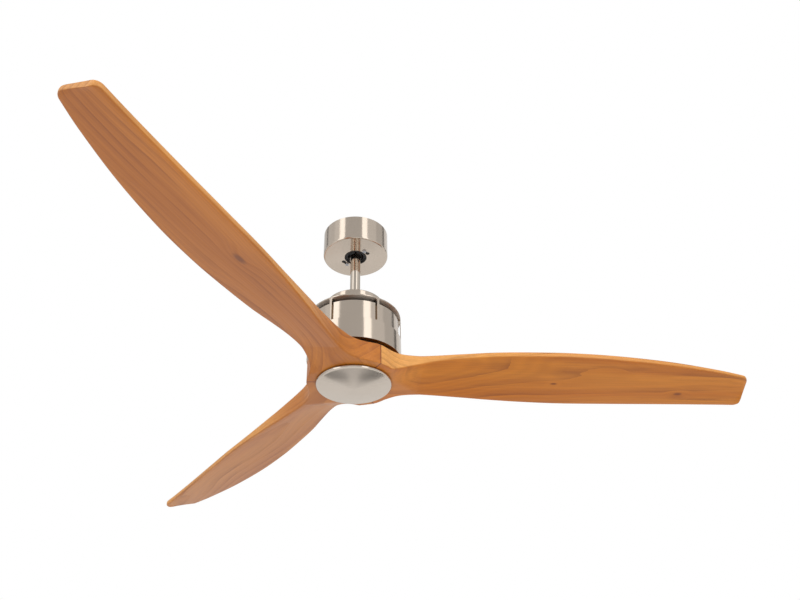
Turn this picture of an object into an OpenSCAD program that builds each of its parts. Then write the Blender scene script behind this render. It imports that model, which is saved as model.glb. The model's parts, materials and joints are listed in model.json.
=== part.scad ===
// Three-blade timber ceiling fan on a short downrod, millimetres, +Z up.
// The origin is the centre of the ceiling plate's top face; the first blade points along +X.

/* [Blades] */
// Radius from the axis to the blade tips
tip_r = 762; // [600:1:900]
// Greatest width of a blade
blade_chord = 130; // [100:1:160]
// Thickness of a blade's edges along most of its length
blade_edge = 11; // [8:0.5:14]
// How much thinner the leading edge is at the tip
tip_thinning = 4; // [0:0.5:5]
// How far the leading edge comes down at the tip
tip_droop = 8; // [0:0.5:10]
// How far the trailing edge comes up at the tip
tip_lift = 5; // [0:0.5:8]
// Radius of the tip's corners in plan
tip_round = 12; // [4:1:20]
// Rounding of the blades' long edges
edge_round = 3; // [1:0.5:4]
// Half width of a blade at its neck
neck_half = 40; // [34:1:48]

/* [Timber hub] */
// Radius of the hub that the three blade roots make
hub_r = 87.5; // [80:0.5:100]
// Height of the hub, which is the thickness of the timber that each blade is carved from
hub_h = 40; // [34:1:50]
// Angle from a blade's axis to the seam on its leading side
seam_lead = 58; // [54:1:62]
// Radius of the hub's centre hole
hub_bore_r = 32; // [30:1:36]
// Radius of the pocket under the hub
pocket_r = 60; // [56:1:62]
// Depth of the pocket under the hub
pocket_depth = 12; // [10:1:14]
// Radius of the circle that the blade screws stand on
blade_screw_circle = 46; // [42:1:50]
// Radius of a blade screw
blade_screw_r = 3; // [2:0.5:3.5]

/* [Canopy and ceiling plate] */
// Outside radius of the canopy
canopy_r = 65.5; // [64:0.5:80]
// Depth of the canopy's bottom face below the ceiling
canopy_drop = 56; // [56:1:70]
// Sheet thickness of the canopy
canopy_wall = 1.2; // [0.8:0.1:2]
// Rounding of the canopy's bottom edge
canopy_round = 3; // [1.5:0.5:5]
// Gap between the ceiling and the canopy's rim
canopy_gap = 1; // [0.5:0.5:2]
// Radius of the hole in the canopy's bottom
canopy_hole_r = 21; // [20:0.5:24]
// Radius of the circle that the canopy's keyholes lie on
keyhole_circle = 28; // [27:0.5:30]
// Width of a keyhole's narrow end
keyhole_w = 5; // [4.6:0.1:6]
// Radius of a keyhole's wide end
keyhole_r = 4.2; // [4:0.1:5]
// Angle of a keyhole's wide end
keyhole_angle = 148; // [0:1:360]
// Angle that a keyhole covers
keyhole_turn = 21; // [18:1:30]
// Length of the ceiling plate
plate_l = 116; // [110:1:120]
// Width of the ceiling plate
plate_w = 38; // [34:1:40]
// Sheet thickness of the ceiling plate and its arms
plate_t = 2.5; // [2:0.5:3]
// Distance between the ceiling plate's two slots
slot_spacing = 88.9; // [84:0.1:92]
// Length of a ceiling plate slot from end to end
slot_l = 12; // [8:1:14]
// Width of a ceiling plate slot
slot_w = 5; // [4:0.5:6]
// Radius of the hole for the supply wires
wire_hole_r = 11; // [8:1:13]

/* [Downrod] */
// Outside radius of the downrod
rod_r = 10.2; // [9:0.1:11]
// Wall of the downrod
rod_wall = 2.5; // [2:0.1:3]
// Radius of the hanger ball
ball_r = 18; // [17.5:0.5:19]
// Radius of the cross pin in the hanger ball
ball_pin_r = 2.5; // [2:0.1:2.6]
// Radius of the cross pin in the rod coupler
coupler_pin_r = 3; // [2.5:0.1:3.1]
// Radius of the motor lead
lead_r = 1.9; // [1.5:0.1:2]

/* [Motor housing] */
// Outside radius of the motor housing
housing_r = 89.5; // [88:0.5:110]
// Depth of the housing's top face below the ceiling
housing_drop = 210.7; // [205:0.1:260]
// Height of the housing from its top face to its bottom rim
housing_h = 94.9; // [94:0.1:104]
// Depth of the windows below the housing's top face
window_drop = 51.3; // [30:0.1:60]
// Sheet thickness of the housing
housing_wall = 1.5; // [1:0.1:2]
// Thickness of the housing's top plate
lid_t = 2.5; // [2:0.1:3.5]
// Number of posts between the windows
posts = 6; // [4:1:8]
// Width of a post
post_w = 4.6; // [3:0.1:8]
// Angle of the first post
post_angle = -2; // [-30:1:30]
// Gap above the inner sleeve
sleeve_gap = 8; // [4:0.5:12]
// Outside radius of the inner sleeve
sleeve_r = 85; // [83.5:0.5:85]
// Gap between the housing and the timber hub
hub_gap = 6.4; // [6.4:0.1:12]
// Radius of the coupling cover
cover_r = 56; // [50:1:60]
// Height of the coupling cover
cover_h = 35.7; // [34:0.1:50]
// Rounding of the coupling cover's top edge
cover_round = 3; // [2:0.5:6]

/* [Cap] */
// Radius of the cap's rim
cap_r = 70.8; // [66:0.1:76]
// Gap between the timber and the cap's rim
cap_gap = 1.6; // [1:0.1:3]
// Height of the cap's rolled rim
cap_rim = 4.4; // [2:0.1:6]
// Depth of the cap's dome below its rim
cap_dome = 7.4; // [5:0.1:14]
// Sheet thickness of the cap
cap_wall = 1.2; // [1:0.1:1.6]

/* [Motor] */
// Radius of the motor shaft
shaft_r = 8.5; // [8:0.1:9]
// Radius of the bore through the motor shaft
shaft_bore_r = 5; // [5:0.1:5.5]
// Outside radius of a bearing
bearing_r = 20; // [19:0.5:21]
// Width of a bearing
bearing_w = 12; // [10:1:12]
// Radius of a bearing ball
bearing_ball_r = 3.4; // [3:0.1:3.6]
// Number of balls in a bearing
bearing_balls_n = 8; // [6:1:8]
// Radius of the stator
stator_r = 60; // [54:1:60]
// Height of the stator's lamination stack
stator_h = 32; // [24:1:34]
// Number of stator teeth
teeth = 12; // [8:1:12]
// Width of a stator tooth
tooth_w = 7; // [5:0.5:8]
// Radial gap between the stator and the rotor
air_gap = 0.6; // [0.5:0.1:1]
// Outside radius of the rotor
rotor_r = 78; // [76:0.5:78]

/* [Fits] */
// Radial clearance of pins, screws and tubes in their holes
fit = 0.08; // [0.05:0.01:0.1]
// Gap between curved faces that move past each other
ease = 0.3; // [0.3:0.05:0.5]

/* [Hidden] */
$fn = 96;
E = 0.5;                     // how far a cutting body runs past the faces that it opens
SECTOR = 120;                // angle that each blade root fills
NICKEL = [0.72, 0.69, 0.65];
DARK_STEEL = [0.22, 0.22, 0.23];
ZINC = [0.62, 0.63, 0.65];
TIMBER = [0.80, 0.52, 0.28];
BLACK = [0.08, 0.08, 0.08];

// Heights, counted down from the ceiling
canopy_floor = -canopy_drop + canopy_wall;
cradle_t = 3;
cradle_z = canopy_floor + ease;                       // underside of the cradle
ball_z = cradle_z + 16.5;                             // centre of the hanger ball
ball_top = ball_z + 12;
seat_r = ball_r + ease;
seat_mouth_r = rod_r + 4;                             // opening under the hanger ball
lid_z = -housing_drop;                                // top face of the housing
housing_floor = lid_z - housing_h;
hub_top = housing_floor - hub_gap;
hub_floor = hub_top - hub_h;
rod_top = ball_z + 10;
shaft_top = lid_z - 3.3;
rod_floor = shaft_top + E;

// Ceiling plate
arm_x = 30;
arm_w = 30;
cup_r = seat_r + 5.7;
cradle_r = keyhole_circle + 6;
key_w = 3;
key_reach = 3.5;
canopy_screw_r = keyhole_w / 2 - 0.3;

// Rod and coupler
rod_bore_r = rod_r - rod_wall;
lead_y = rod_bore_r - lead_r - 0.7;
coupler_r = rod_r + 5.2;
coupler_top = lid_z + 20;
coupler_flange_r = 34;
coupler_flange_t = 6;
coupler_floor = lid_z - lid_t - coupler_flange_t - 6;
coupler_pin_z = lid_z + 9;
coupler_screw_z = coupler_pin_z + 6;
lid_screw_circle = 27;
rim_screw_circle = housing_r - 6;
tab_t = 2;                   // thickness of the tabs that carry the top plate
screw_r = 2;

// Motor, from the top down
rotor_t = 3;
rotor_top = coupler_floor - 4;
rotor_floor = housing_floor + 2.6;
rotor_wall = 3;
rotor_mid = (rotor_top + rotor_floor) / 2;
upper_bearing_z = rotor_top - rotor_t - bearing_w;    // underside of the upper bearing
lower_bearing_z = rotor_floor + rotor_t;              // underside of the lower bearing
race_in_r = shaft_r + 3.5;
race_out_r = bearing_r - 3.5;
ball_circle = (race_in_r + race_out_r) / 2;
stator_z = rotor_mid - stator_h / 2;
yoke_r = stator_r / 2;
coil_over = 8;
coil_side = 4;
boss_r = 45;
carrier_t = 3;
gasket_t = 1;
carrier_r = pocket_r + 2;
circlip_t = 1.6;
shaft_floor = lower_bearing_z - circlip_t - 2.4;
carrier_screw_circle = 36;

// Timber and cap
clamp_t = 3;
pocket_z = hub_floor + pocket_depth;
clamp_z = pocket_z - clamp_t;
seam_trail = SECTOR - seam_lead;
cap_rim_z = hub_floor - cap_gap;
cap_skirt_r = pocket_r - 4;
skirt_top = clamp_z - 3;
bracket_t = 1.5;
blade_screw_turns = [-38, 2, 40];

// Blade outline: [share of the length past the hub, share of half the chord]
lead_shape = [[0.17, 0.78], [0.25, 0.9], [0.35, 0.97], [0.463, 1], [0.6, 0.93],
              [0.76, 0.72], [0.91, 0.385], [1, 0.115]];
trail_shape = [[0.17, 0.73], [0.25, 0.83], [0.35, 0.925], [0.463, 0.985], [0.6, 0.98],
               [0.76, 0.965], [0.91, 0.965], [1, 0.98]];
lead_leave = 42;             // angle at which the leading side leaves the hub circle
trail_leave = 45;            // angle at which the trailing side leaves the hub circle
neck_out = 40;               // distance of the neck past the hub circle
carve_out = hub_r - 20;      // where the underside starts to rise at the leading edge
carve_l = 157;               // length over which the underside rises
crease_x = hub_r + 3;        // where the underside's crease crosses the blade's axis
top_carve_x = hub_r + 27;    // where the top starts to fall at the trailing edge
top_carve_l = 285;           // length over which the top falls
blade_l = tip_r - hub_r;

function clamp01(t) = max(0, min(1, t));
function mix(a, b, t) = a + (b - a) * t;
function span_x(share) = hub_r + share * blade_l;

// Smooth curve through points [x, y], as its height at x
function slope(p, i) =
    let (a = max(0, i - 1), b = min(len(p) - 1, i + 1))
    (p[b].y - p[a].y) / (p[b].x - p[a].x);
function curve(p, x) =
    let (i = max([for (k = [0 : len(p) - 2]) if (k == 0 || p[k].x <= x) k]),
         w = p[i + 1].x - p[i].x,
         t = (x - p[i].x) / w,
         a = p[i].y,
         b = p[i + 1].y,
         da = slope(p, i) * w,
         db = slope(p, i + 1) * w)
    a + t * (da + t * (3 * (b - a) - 2 * da - db + t * (da + db - 2 * (b - a))));

function outline_points(shape, leave) =
    concat([[hub_r * cos(leave), hub_r * sin(leave)],
            [hub_r * 0.88, mix(neck_half, hub_r * sin(leave), 0.5)],
            [hub_r * 1.03, mix(neck_half, hub_r * sin(leave), 0.22)],
            [hub_r * 1.2, mix(neck_half, hub_r * sin(leave), 0.07)],
            [hub_r + neck_out, neck_half]],
           [for (s = shape) [span_x(s.x), s.y * blade_chord / 2]]);
lead_points = outline_points(lead_shape, lead_leave);
trail_points = outline_points(trail_shape, trail_leave);

function side(x, points, seam, leave) =
    x <= hub_r * cos(seam) ? x * tan(seam)
    : x <= hub_r * cos(leave) ? sqrt(hub_r * hub_r - x * x)
    : curve(points, x);
function corner(x) =
    let (d = max(0, x - tip_r + tip_round))
    tip_round - sqrt(max(0, tip_round * tip_round - d * d));
function lead_y(x) = corner(x) - side(x, lead_points, seam_lead, lead_leave);
function trail_y(x) = side(x, trail_points, seam_trail, trail_leave) - corner(x);

// Heights of the carved faces
function washout(x) = pow(clamp01((x - span_x(0.3)) / (tip_r - span_x(0.3))), 1.5);
function rise(x) = (hub_h - blade_edge) * (1 - pow(1 - clamp01((x - carve_out) / carve_l), 3));
function fall(x) = (hub_h - blade_edge) * sin(90 * clamp01((x - top_carve_x) / top_carve_l));
function thinning(x) = tip_thinning * clamp01((x - span_x(0.6)) / (tip_r - span_x(0.6)));
function lead_top(x) = hub_top - tip_droop * washout(x);
function lead_floor(x) = lead_top(x) - hub_h + rise(x) + thinning(x);
function trail_floor(x) = hub_floor + tip_lift * washout(x);
function trail_top(x) = trail_floor(x) + hub_h - fall(x);
function rounding(x) =
    mix(0.4, edge_round, clamp01((x - hub_r * cos(seam_lead)) / 12));

// One cross-section as a closed loop of 14 points, from the leading edge over the top
function section(x) =
    let (a = lead_y(x), b = trail_y(x), r = rounding(x), in = r + 2,
         top_crease = max(a + in, min(b - in, b - 1.15 * (x - top_carve_x))),
         low_crease = max(a + in, min(b - in, x - crease_x)),
         ta = lead_top(x), tb = trail_top(x), fa = lead_floor(x), fb = trail_floor(x),
         t_near = mix(tb, ta, r / (b - top_crease)),
         f_near = mix(fa, fb, r / (low_crease - a)))
    [[x, a, ta - r], [x, a + 0.3 * r, ta - 0.3 * r], [x, a + r, ta], [x, top_crease, ta],
     [x, b - r, t_near], [x, b - 0.3 * r, tb - 0.3 * r], [x, b, tb - r],
     [x, b, fb + r], [x, b - 0.3 * r, fb + 0.3 * r], [x, b - r, fb], [x, low_crease, fb],
     [x, a + r, f_near], [x, a + 0.3 * r, fa + 0.3 * r], [x, a, fa + r]];

stations = concat([18, hub_r * cos(seam_trail), hub_r * cos(seam_lead)],
                  [for (k = [1 : 3]) mix(hub_r * cos(seam_lead), hub_r * cos(trail_leave), k / 3)],
                  [for (k = [1 : 14]) mix(hub_r * cos(trail_leave), hub_r + neck_out, k / 14)],
                  [for (k = [1 : 24]) mix(hub_r + neck_out, tip_r - tip_round, k / 24)],
                  [for (k = [1 : 5]) tip_r - tip_round * (1 - sin(18 * k))]);

module loft(rows) {
    n = len(rows[0]);
    m = len(rows);
    polyhedron(
        points = [for (row = rows) for (p = row) p],
        faces = concat(
            [[for (i = [0 : n - 1]) i]],
            [[for (i = [n - 1 : -1 : 0]) (m - 1) * n + i]],
            [for (j = [0 : m - 2]) for (i = [0 : n - 1])
                let (k = (i + 1) % n) [j * n + i, (j + 1) * n + i, (j + 1) * n + k]],
            [for (j = [0 : m - 2]) for (i = [0 : n - 1])
                let (k = (i + 1) % n) [j * n + i, (j + 1) * n + k, j * n + k]]),
        convexity = 6);
}

// Shared shapes
module disc(r, top, floor) {
    translate([0, 0, floor]) cylinder(r = r, h = top - floor);
}

module ring(outer, inner, top, floor) {
    difference() {
        disc(outer, top, floor);
        disc(inner, top + E, floor - E);
    }
}

module around(turns, radius) {
    for (a = turns) rotate([0, 0, a]) translate([radius, 0, 0]) children();
}

module x_pin(r, l, z) {
    translate([-l / 2, 0, z]) rotate([0, 90, 0]) cylinder(r = r, h = l);
}

// A pan-head screw: the shank goes up from z = 0 with its head below, or the other way round
module screw(r, l, up) {
    s = up ? 1 : -1;
    head = 0.9 * r;
    difference() {
        union() {
            translate([0, 0, up ? -head : 0]) cylinder(r = 1.8 * r, h = head);
            translate([0, 0, up ? 0 : -l]) cylinder(r = r, h = l);
        }
        for (a = [0, 90])
            rotate([0, 0, a]) translate([0, 0, -s * head]) cube([2 * r, 0.5 * r, 0.7 * r], center = true);
    }
}

function turns(n, start = 0) = [for (k = [0 : n - 1]) start + k * 360 / n];
bracket_screw_turns = turns(3, 21);
blade_screw_angles = [for (b = [0 : 2]) for (t = blade_screw_turns) b * SECTOR + t];

// Pieces that stay on the ceiling
module ceiling_plate() {
    color(DARK_STEEL) difference() {
        union() {
            translate([-plate_l / 2, -plate_w / 2, -plate_t]) cube([plate_l, plate_w, plate_t]);
            for (s = [-1, 1])
                translate([s * (arm_x + plate_t / 2) - plate_t / 2, -arm_w / 2, cradle_z])
                    cube([plate_t, arm_w, -plate_t / 2 - cradle_z]);
            disc(cradle_r, cradle_z + cradle_t, cradle_z);
            disc(cup_r, ball_z - 1, cradle_z);
        }
        translate([0, 0, ball_z]) sphere(r = seat_r);
        disc(seat_mouth_r, ball_z, cradle_z - E);
        translate([0, 0, cradle_z - E]) cylinder(r1 = seat_mouth_r + 2.4, r2 = seat_mouth_r, h = 6);
        disc(wire_hole_r, E, -plate_t - E);
        translate([-rod_r - 0.8, 0, cradle_z - E]) cube([2 * rod_r + 1.6, cradle_r + E, 24]);
        around(turns(2, keyhole_angle - keyhole_turn), keyhole_circle)
            disc(canopy_screw_r + fit, cradle_z + cradle_t + E, cradle_z - E);
        for (s = [-1, 1]) translate([s * slot_spacing / 2, 0, -plate_t - E]) {
            for (t = [-1, 1])
                translate([t * (slot_l - slot_w) / 2, 0, 0]) cylinder(r = slot_w / 2, h = plate_t + 2 * E);
            translate([-(slot_l - slot_w) / 2, -slot_w / 2, 0])
                cube([slot_l - slot_w, slot_w, plate_t + 2 * E]);
        }
    }
    color(ZINC) translate([-key_w / 2, -seat_r - 1, ball_z - 8]) cube([key_w, key_reach, 7]);
}

module keyholes() {
    for (a = turns(2, keyhole_angle)) rotate([0, 0, a]) {
        translate([keyhole_circle, 0, -canopy_drop - E]) cylinder(r = keyhole_r, h = canopy_wall + 2 * E);
        rotate([0, 0, -keyhole_turn]) {
            translate([keyhole_circle, 0, -canopy_drop - E])
                cylinder(r = keyhole_w / 2, h = canopy_wall + 2 * E);
            translate([0, 0, -canopy_drop - E]) rotate_extrude(angle = keyhole_turn)
                translate([keyhole_circle - keyhole_w / 2, 0])
                    square([keyhole_w, canopy_wall + 2 * E]);
        }
    }
}

// Half outline of a sheet-metal cup that is open at the top, with a rounded lower edge
module cup_outline(r, top, floor, round, wall, hole) {
    difference() {
        union() {
            translate([0, floor]) square([r - round, top - floor]);
            translate([0, floor + round]) square([r, top - floor - round]);
            translate([r - round, floor + round]) circle(r = round);
        }
        translate([0, floor + wall]) square([r - round, top - floor]);
        translate([0, floor + round]) square([r - wall, top - floor]);
        translate([r - round, floor + round]) circle(r = round - wall);
        translate([-1, floor - E]) square([hole + 1, top - floor]);
    }
}

module canopy() {
    color(NICKEL) difference() {
        rotate_extrude()
            cup_outline(canopy_r, -canopy_gap, -canopy_drop, canopy_round, canopy_wall, canopy_hole_r);
        keyholes();
    }
}

module canopy_grommet() {
    color(BLACK) rotate_extrude() difference() {
        translate([canopy_hole_r - 2, -canopy_drop - 0.8]) square([3.6, canopy_wall + 1.6 - 0.6]);
        translate([canopy_hole_r, -canopy_drop]) square([2, canopy_wall]);
    }
}

module canopy_screws() {
    color(NICKEL) around(turns(2, keyhole_angle - keyhole_turn), keyhole_circle)
        translate([0, 0, -canopy_drop])
            screw(canopy_screw_r, canopy_wall + ease + cradle_t + 3, true);
}

module terminal_block() {
    color("white") difference() {
        translate([-arm_x - plate_t - 12, -13, ball_z - 8]) cube([12, 26, 16]);
        for (k = [-1 : 1]) translate([-arm_x - plate_t - 12 - E, k * 8, ball_z]) rotate([0, 90, 0])
            cylinder(r = 2, h = 7);
    }
}

// Pieces that hang from the ball
module hanger_ball() {
    color(BLACK) difference() {
        intersection() {
            translate([0, 0, ball_z]) sphere(r = ball_r);
            disc(ball_r + 1, ball_top, ball_z - ball_r);
        }
        disc(rod_r + fit, ball_top + E, ball_z - ball_r - E);
        x_pin(ball_pin_r + fit, 2 * ball_r + 2, ball_z);
        intersection() {
            translate([-key_w / 2 - 0.5, 0, ball_z]) rotate([0, 90, 0])
                ring(ball_r + 1, ball_r - 3, key_w + 1, 0);
            translate([-ball_r, -2 * ball_r, ball_z - ball_r]) cube(2 * ball_r);
        }
        translate([0, 0, ball_z + 5.5]) rotate([-90, 0, 0]) cylinder(r = screw_r + fit, h = ball_r);
    }
}

module ball_cross_pin() {
    color(ZINC) x_pin(ball_pin_r, 2 * ball_r - 3, ball_z);
}

module ball_set_screw() {
    color(DARK_STEEL) translate([0, rod_r + fit, ball_z + 5.5]) rotate([-90, 0, 0]) difference() {
        cylinder(r = screw_r, h = 5);
        translate([0, 0, 3]) cylinder(r = 1.1, h = 3, $fn = 6);
    }
}

module downrod() {
    color(NICKEL) difference() {
        ring(rod_r, rod_bore_r, rod_top, rod_floor);
        x_pin(ball_pin_r + fit, 2 * rod_r + 2, ball_z);
        x_pin(coupler_pin_r + fit, 2 * rod_r + 2, coupler_pin_z);
    }
}

module rod_bush() {
    color(BLACK) difference() {
        union() {
            disc(rod_r, rod_top + 1.5, rod_top);
            disc(rod_bore_r - fit, rod_top, rod_top - 5);
        }
        translate([0, lead_y, rod_top - 6]) cylinder(r = lead_r + fit, h = 9);
    }
}

module lead_stretch(y1, z1, y2, z2) {
    hull() {
        translate([0, y1, z1]) cylinder(r = lead_r, h = 0.1, $fn = 24);
        translate([0, y2, z2]) cylinder(r = lead_r, h = 0.1, $fn = 24);
    }
}

module motor_lead() {
    shaft_y = shaft_bore_r - lead_r - 0.6;
    bend_z = rod_floor + 9;
    color("dimgray") {
        translate([0, lead_y, bend_z]) cylinder(r = lead_r, h = rod_top + 9 - bend_z);
        lead_stretch(lead_y, bend_z, shaft_y, shaft_top + 1);
        translate([0, shaft_y, stator_z]) cylinder(r = lead_r, h = shaft_top + 1 - stator_z);
    }
}

module rod_coupler() {
    color(DARK_STEEL) difference() {
        union() {
            disc(coupler_r, coupler_top, coupler_floor);
            disc(coupler_flange_r, lid_z - lid_t, lid_z - lid_t - coupler_flange_t);
        }
        disc(rod_r + fit, coupler_top + E, shaft_top);
        disc(shaft_r + fit, shaft_top + E, coupler_floor - E);
        x_pin(coupler_pin_r + fit, 2 * coupler_r + 2, coupler_pin_z);
        for (s = [-1, 1]) translate([0, 0, coupler_screw_z]) rotate([s * 90, 0, 0])
            cylinder(r = screw_r + fit, h = coupler_r + 1);
        around(turns(4, 45), lid_screw_circle)
            disc(screw_r + fit, lid_z, lid_z - lid_t - coupler_flange_t - E);
    }
}

module coupler_pin() {
    color(ZINC) difference() {
        union() {
            x_pin(coupler_pin_r, 2 * coupler_r + 8, coupler_pin_z);
            translate([-coupler_r - 6, 0, coupler_pin_z]) rotate([0, 90, 0])
                cylinder(r = coupler_pin_r + 2, h = 2);
        }
        translate([coupler_r + 1, 0, coupler_pin_z]) rotate([0, 90, 0]) difference() {
            cylinder(r = coupler_pin_r + 1, h = 1.2);
            translate([0, 0, -1]) cylinder(r = coupler_pin_r - 0.8, h = 4);
        }
    }
}

module coupler_pin_clip() {
    color(DARK_STEEL) translate([coupler_r + 1.1, 0, coupler_pin_z]) rotate([0, 90, 0]) difference() {
        cylinder(r = coupler_pin_r + 2, h = 1);
        translate([0, 0, -E]) cylinder(r = coupler_pin_r - 0.8 + fit, h = 2);
        translate([0, -coupler_pin_r + 1, -E]) cube([9, 2 * coupler_pin_r - 2, 2]);
    }
}

module coupler_set_screws() {
    color(DARK_STEEL) for (s = [-1, 1])
        translate([0, 0, coupler_screw_z]) rotate([s * 90, 0, 0]) translate([0, 0, rod_r + fit])
            difference() {
                cylinder(r = screw_r, h = 6);
                translate([0, 0, 4]) cylinder(r = 1.1, h = 3, $fn = 6);
            }
}

module coupling_cover() {
    color(NICKEL) translate([0, 0, 2 * lid_z + cover_h]) mirror([0, 0, 1]) rotate_extrude()
        cup_outline(cover_r, lid_z + cover_h, lid_z, cover_round, housing_wall, rod_r + 2.5);
}

module cover_grommet() {
    top = lid_z + cover_h;
    color(BLACK) rotate_extrude() difference() {
        translate([rod_r + fit, top - housing_wall - 1]) square([4, housing_wall + 1.8]);
        translate([rod_r + 2.5, top - housing_wall]) square([4, housing_wall]);
    }
}

module run_capacitor() {
    color("darkslategray") translate([-19, 26, lid_z]) cube([38, 15, 24]);
}

module housing_top_plate() {
    color(NICKEL) difference() {
        disc(housing_r, lid_z, lid_z - lid_t);
        disc(coupler_r + fit, lid_z + E, lid_z - lid_t - E);
        around(turns(4, 45), lid_screw_circle) disc(screw_r + fit, lid_z + E, lid_z - lid_t - E);
        around(turns(posts, post_angle), rim_screw_circle)
            disc(screw_r + fit, lid_z + E, lid_z - lid_t - E);
    }
}

module top_plate_screws() {
    color(ZINC) around(turns(4, 45), lid_screw_circle) translate([0, 0, lid_z])
        screw(screw_r, lid_t + coupler_flange_t, false);
}

module rim_screws() {
    color(NICKEL) around(turns(posts, post_angle), rim_screw_circle) translate([0, 0, lid_z])
        screw(screw_r, lid_t + tab_t + 2, false);
}

module motor_housing() {
    top = lid_z - lid_t;
    sill = lid_z - window_drop;
    post_turn = post_w / housing_r * 180 / PI;
    color(NICKEL) difference() {
        union() {
            difference() {
                ring(housing_r, housing_r - housing_wall, top, housing_floor);
                for (a = turns(posts, post_angle + post_turn / 2)) rotate([0, 0, a])
                    translate([0, 0, sill]) rotate_extrude(angle = 360 / posts - post_turn)
                        translate([housing_r - 5, 0]) square([10, top - sill + E]);
            }
            ring(housing_r - housing_wall / 2, housing_r - 9, housing_floor + housing_wall, housing_floor);
            intersection() {
                ring(housing_r - housing_wall / 2, housing_r - 9.5, top, top - tab_t);
                for (a = turns(posts, post_angle)) rotate([0, 0, a])
                    translate([0, -post_w, top - tab_t]) cube([housing_r, 2 * post_w, tab_t]);
            }
        }
        around(turns(posts, post_angle), rim_screw_circle) disc(screw_r + fit, top + E, top - tab_t - E);
    }
}

module inner_sleeve() {
    color(NICKEL) ring(sleeve_r, sleeve_r - 1.2, lid_z - lid_t - sleeve_gap, housing_floor + housing_wall);
}

module motor_shaft() {
    color(ZINC) difference() {
        ring(shaft_r, shaft_bore_r, shaft_top, shaft_floor);
        ring(shaft_r + 1, shaft_r - 1, lower_bearing_z, lower_bearing_z - circlip_t);
    }
}

module shaft_circlip() {
    color(DARK_STEEL) difference() {
        ring(race_in_r - 1, shaft_r - 1 + fit, lower_bearing_z - 0.1, lower_bearing_z - circlip_t + 0.1);
        translate([0, -2, lower_bearing_z - circlip_t - E]) cube([race_in_r, 4, circlip_t + 2 * E]);
    }
}

module race_groove() {
    rotate_extrude() translate([ball_circle, 0]) circle(r = bearing_ball_r + ease, $fn = 48);
}

module both_bearings() {
    for (z = [upper_bearing_z, lower_bearing_z]) translate([0, 0, z + bearing_w / 2]) children();
}

module bearing_inner_races() {
    color(ZINC) both_bearings() difference() {
        ring(race_in_r, shaft_r + fit, bearing_w / 2, -bearing_w / 2);
        race_groove();
    }
}

module bearing_outer_races() {
    color(ZINC) both_bearings() difference() {
        ring(bearing_r, race_out_r, bearing_w / 2, -bearing_w / 2);
        race_groove();
    }
}

module bearing_balls() {
    color("silver") both_bearings() around(turns(bearing_balls_n), ball_circle)
        sphere(r = bearing_ball_r, $fn = 48);
}

module stator_core() {
    color(DARK_STEEL) translate([0, 0, stator_z]) linear_extrude(stator_h) difference() {
        union() {
            circle(r = yoke_r);
            intersection() {
                circle(r = stator_r - 1);
                for (a = turns(teeth)) rotate(a) translate([0, -tooth_w / 2]) square([stator_r, tooth_w]);
            }
            difference() {
                circle(r = stator_r);
                circle(r = stator_r - 3.5);
                for (a = turns(teeth, 180 / teeth)) rotate(a) translate([0, -1.5]) square([stator_r + 1, 3]);
            }
        }
        circle(r = shaft_r + fit);
    }
}

module stator_windings() {
    coil_in = yoke_r + 3;
    coil_l = stator_r - 4.5 - coil_in;
    color([0.72, 0.45, 0.2]) for (a = turns(teeth)) rotate([0, 0, a]) difference() {
        translate([coil_in, -tooth_w / 2 - coil_side, stator_z - coil_over])
            cube([coil_l, tooth_w + 2 * coil_side, stator_h + 2 * coil_over]);
        translate([coil_in - 1, -tooth_w / 2 - fit, stator_z - fit])
            cube([coil_l + 2, tooth_w + 2 * fit, stator_h + 2 * fit]);
    }
}

// Pieces that turn with the blades
module rotor_top_shell() {
    color(DARK_STEEL) difference() {
        union() {
            disc(rotor_r, rotor_top, rotor_top - rotor_t);
            ring(rotor_r, rotor_r - rotor_wall, rotor_top - 1, rotor_mid);
            disc(bearing_r + 4, rotor_top - 1, upper_bearing_z);
        }
        disc(bearing_r + fit, rotor_top - rotor_t, upper_bearing_z - E);
        disc(race_out_r, rotor_top + E, upper_bearing_z - E);
        around(turns(4), rotor_r - 7) disc(screw_r + fit, rotor_top + E, rotor_top - rotor_t - E);
    }
}

module rotor_bottom_shell() {
    color(DARK_STEEL) difference() {
        union() {
            disc(rotor_r, rotor_floor + rotor_t, rotor_floor);
            ring(rotor_r, rotor_r - rotor_wall, rotor_mid, rotor_floor + 1);
            disc(bearing_r + 4, lower_bearing_z + bearing_w, rotor_floor);
            disc(boss_r, rotor_floor + 1, hub_top + gasket_t + carrier_t);
        }
        disc(bearing_r + fit, lower_bearing_z + bearing_w + E, lower_bearing_z);
        disc(race_out_r, lower_bearing_z + 1, hub_top);
        around(turns(4), rotor_r - 7) disc(screw_r + fit, rotor_floor + rotor_t + E, rotor_floor - E);
        around(turns(6), carrier_screw_circle) disc(screw_r + fit, rotor_floor + 1, hub_top);
    }
}

module rotor_core() {
    color([0.35, 0.35, 0.37]) difference() {
        ring(rotor_r - rotor_wall - fit, stator_r + air_gap, stator_z + stator_h, stator_z);
        around(turns(4), rotor_r - 7) disc(screw_r + fit, stator_z + stator_h + E, stator_z - E);
    }
}

module rotor_shell_screws() {
    color(ZINC) around(turns(4), rotor_r - 7) translate([0, 0, rotor_floor])
        screw(screw_r, rotor_top - rotor_floor, true);
}

module blade_carrier() {
    color(BLACK) difference() {
        disc(carrier_r, hub_top + gasket_t + carrier_t, hub_top + gasket_t);
        disc(race_out_r, hub_top + 9, hub_top);
        around(turns(6), carrier_screw_circle) disc(screw_r + fit, hub_top + 9, hub_top);
        around(blade_screw_angles, blade_screw_circle) disc(blade_screw_r + fit, hub_top + 9, hub_top);
    }
}

module carrier_screws() {
    color(ZINC) around(turns(6), carrier_screw_circle) translate([0, 0, hub_top + gasket_t])
        screw(screw_r, carrier_t + 4, true);
}

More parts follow.
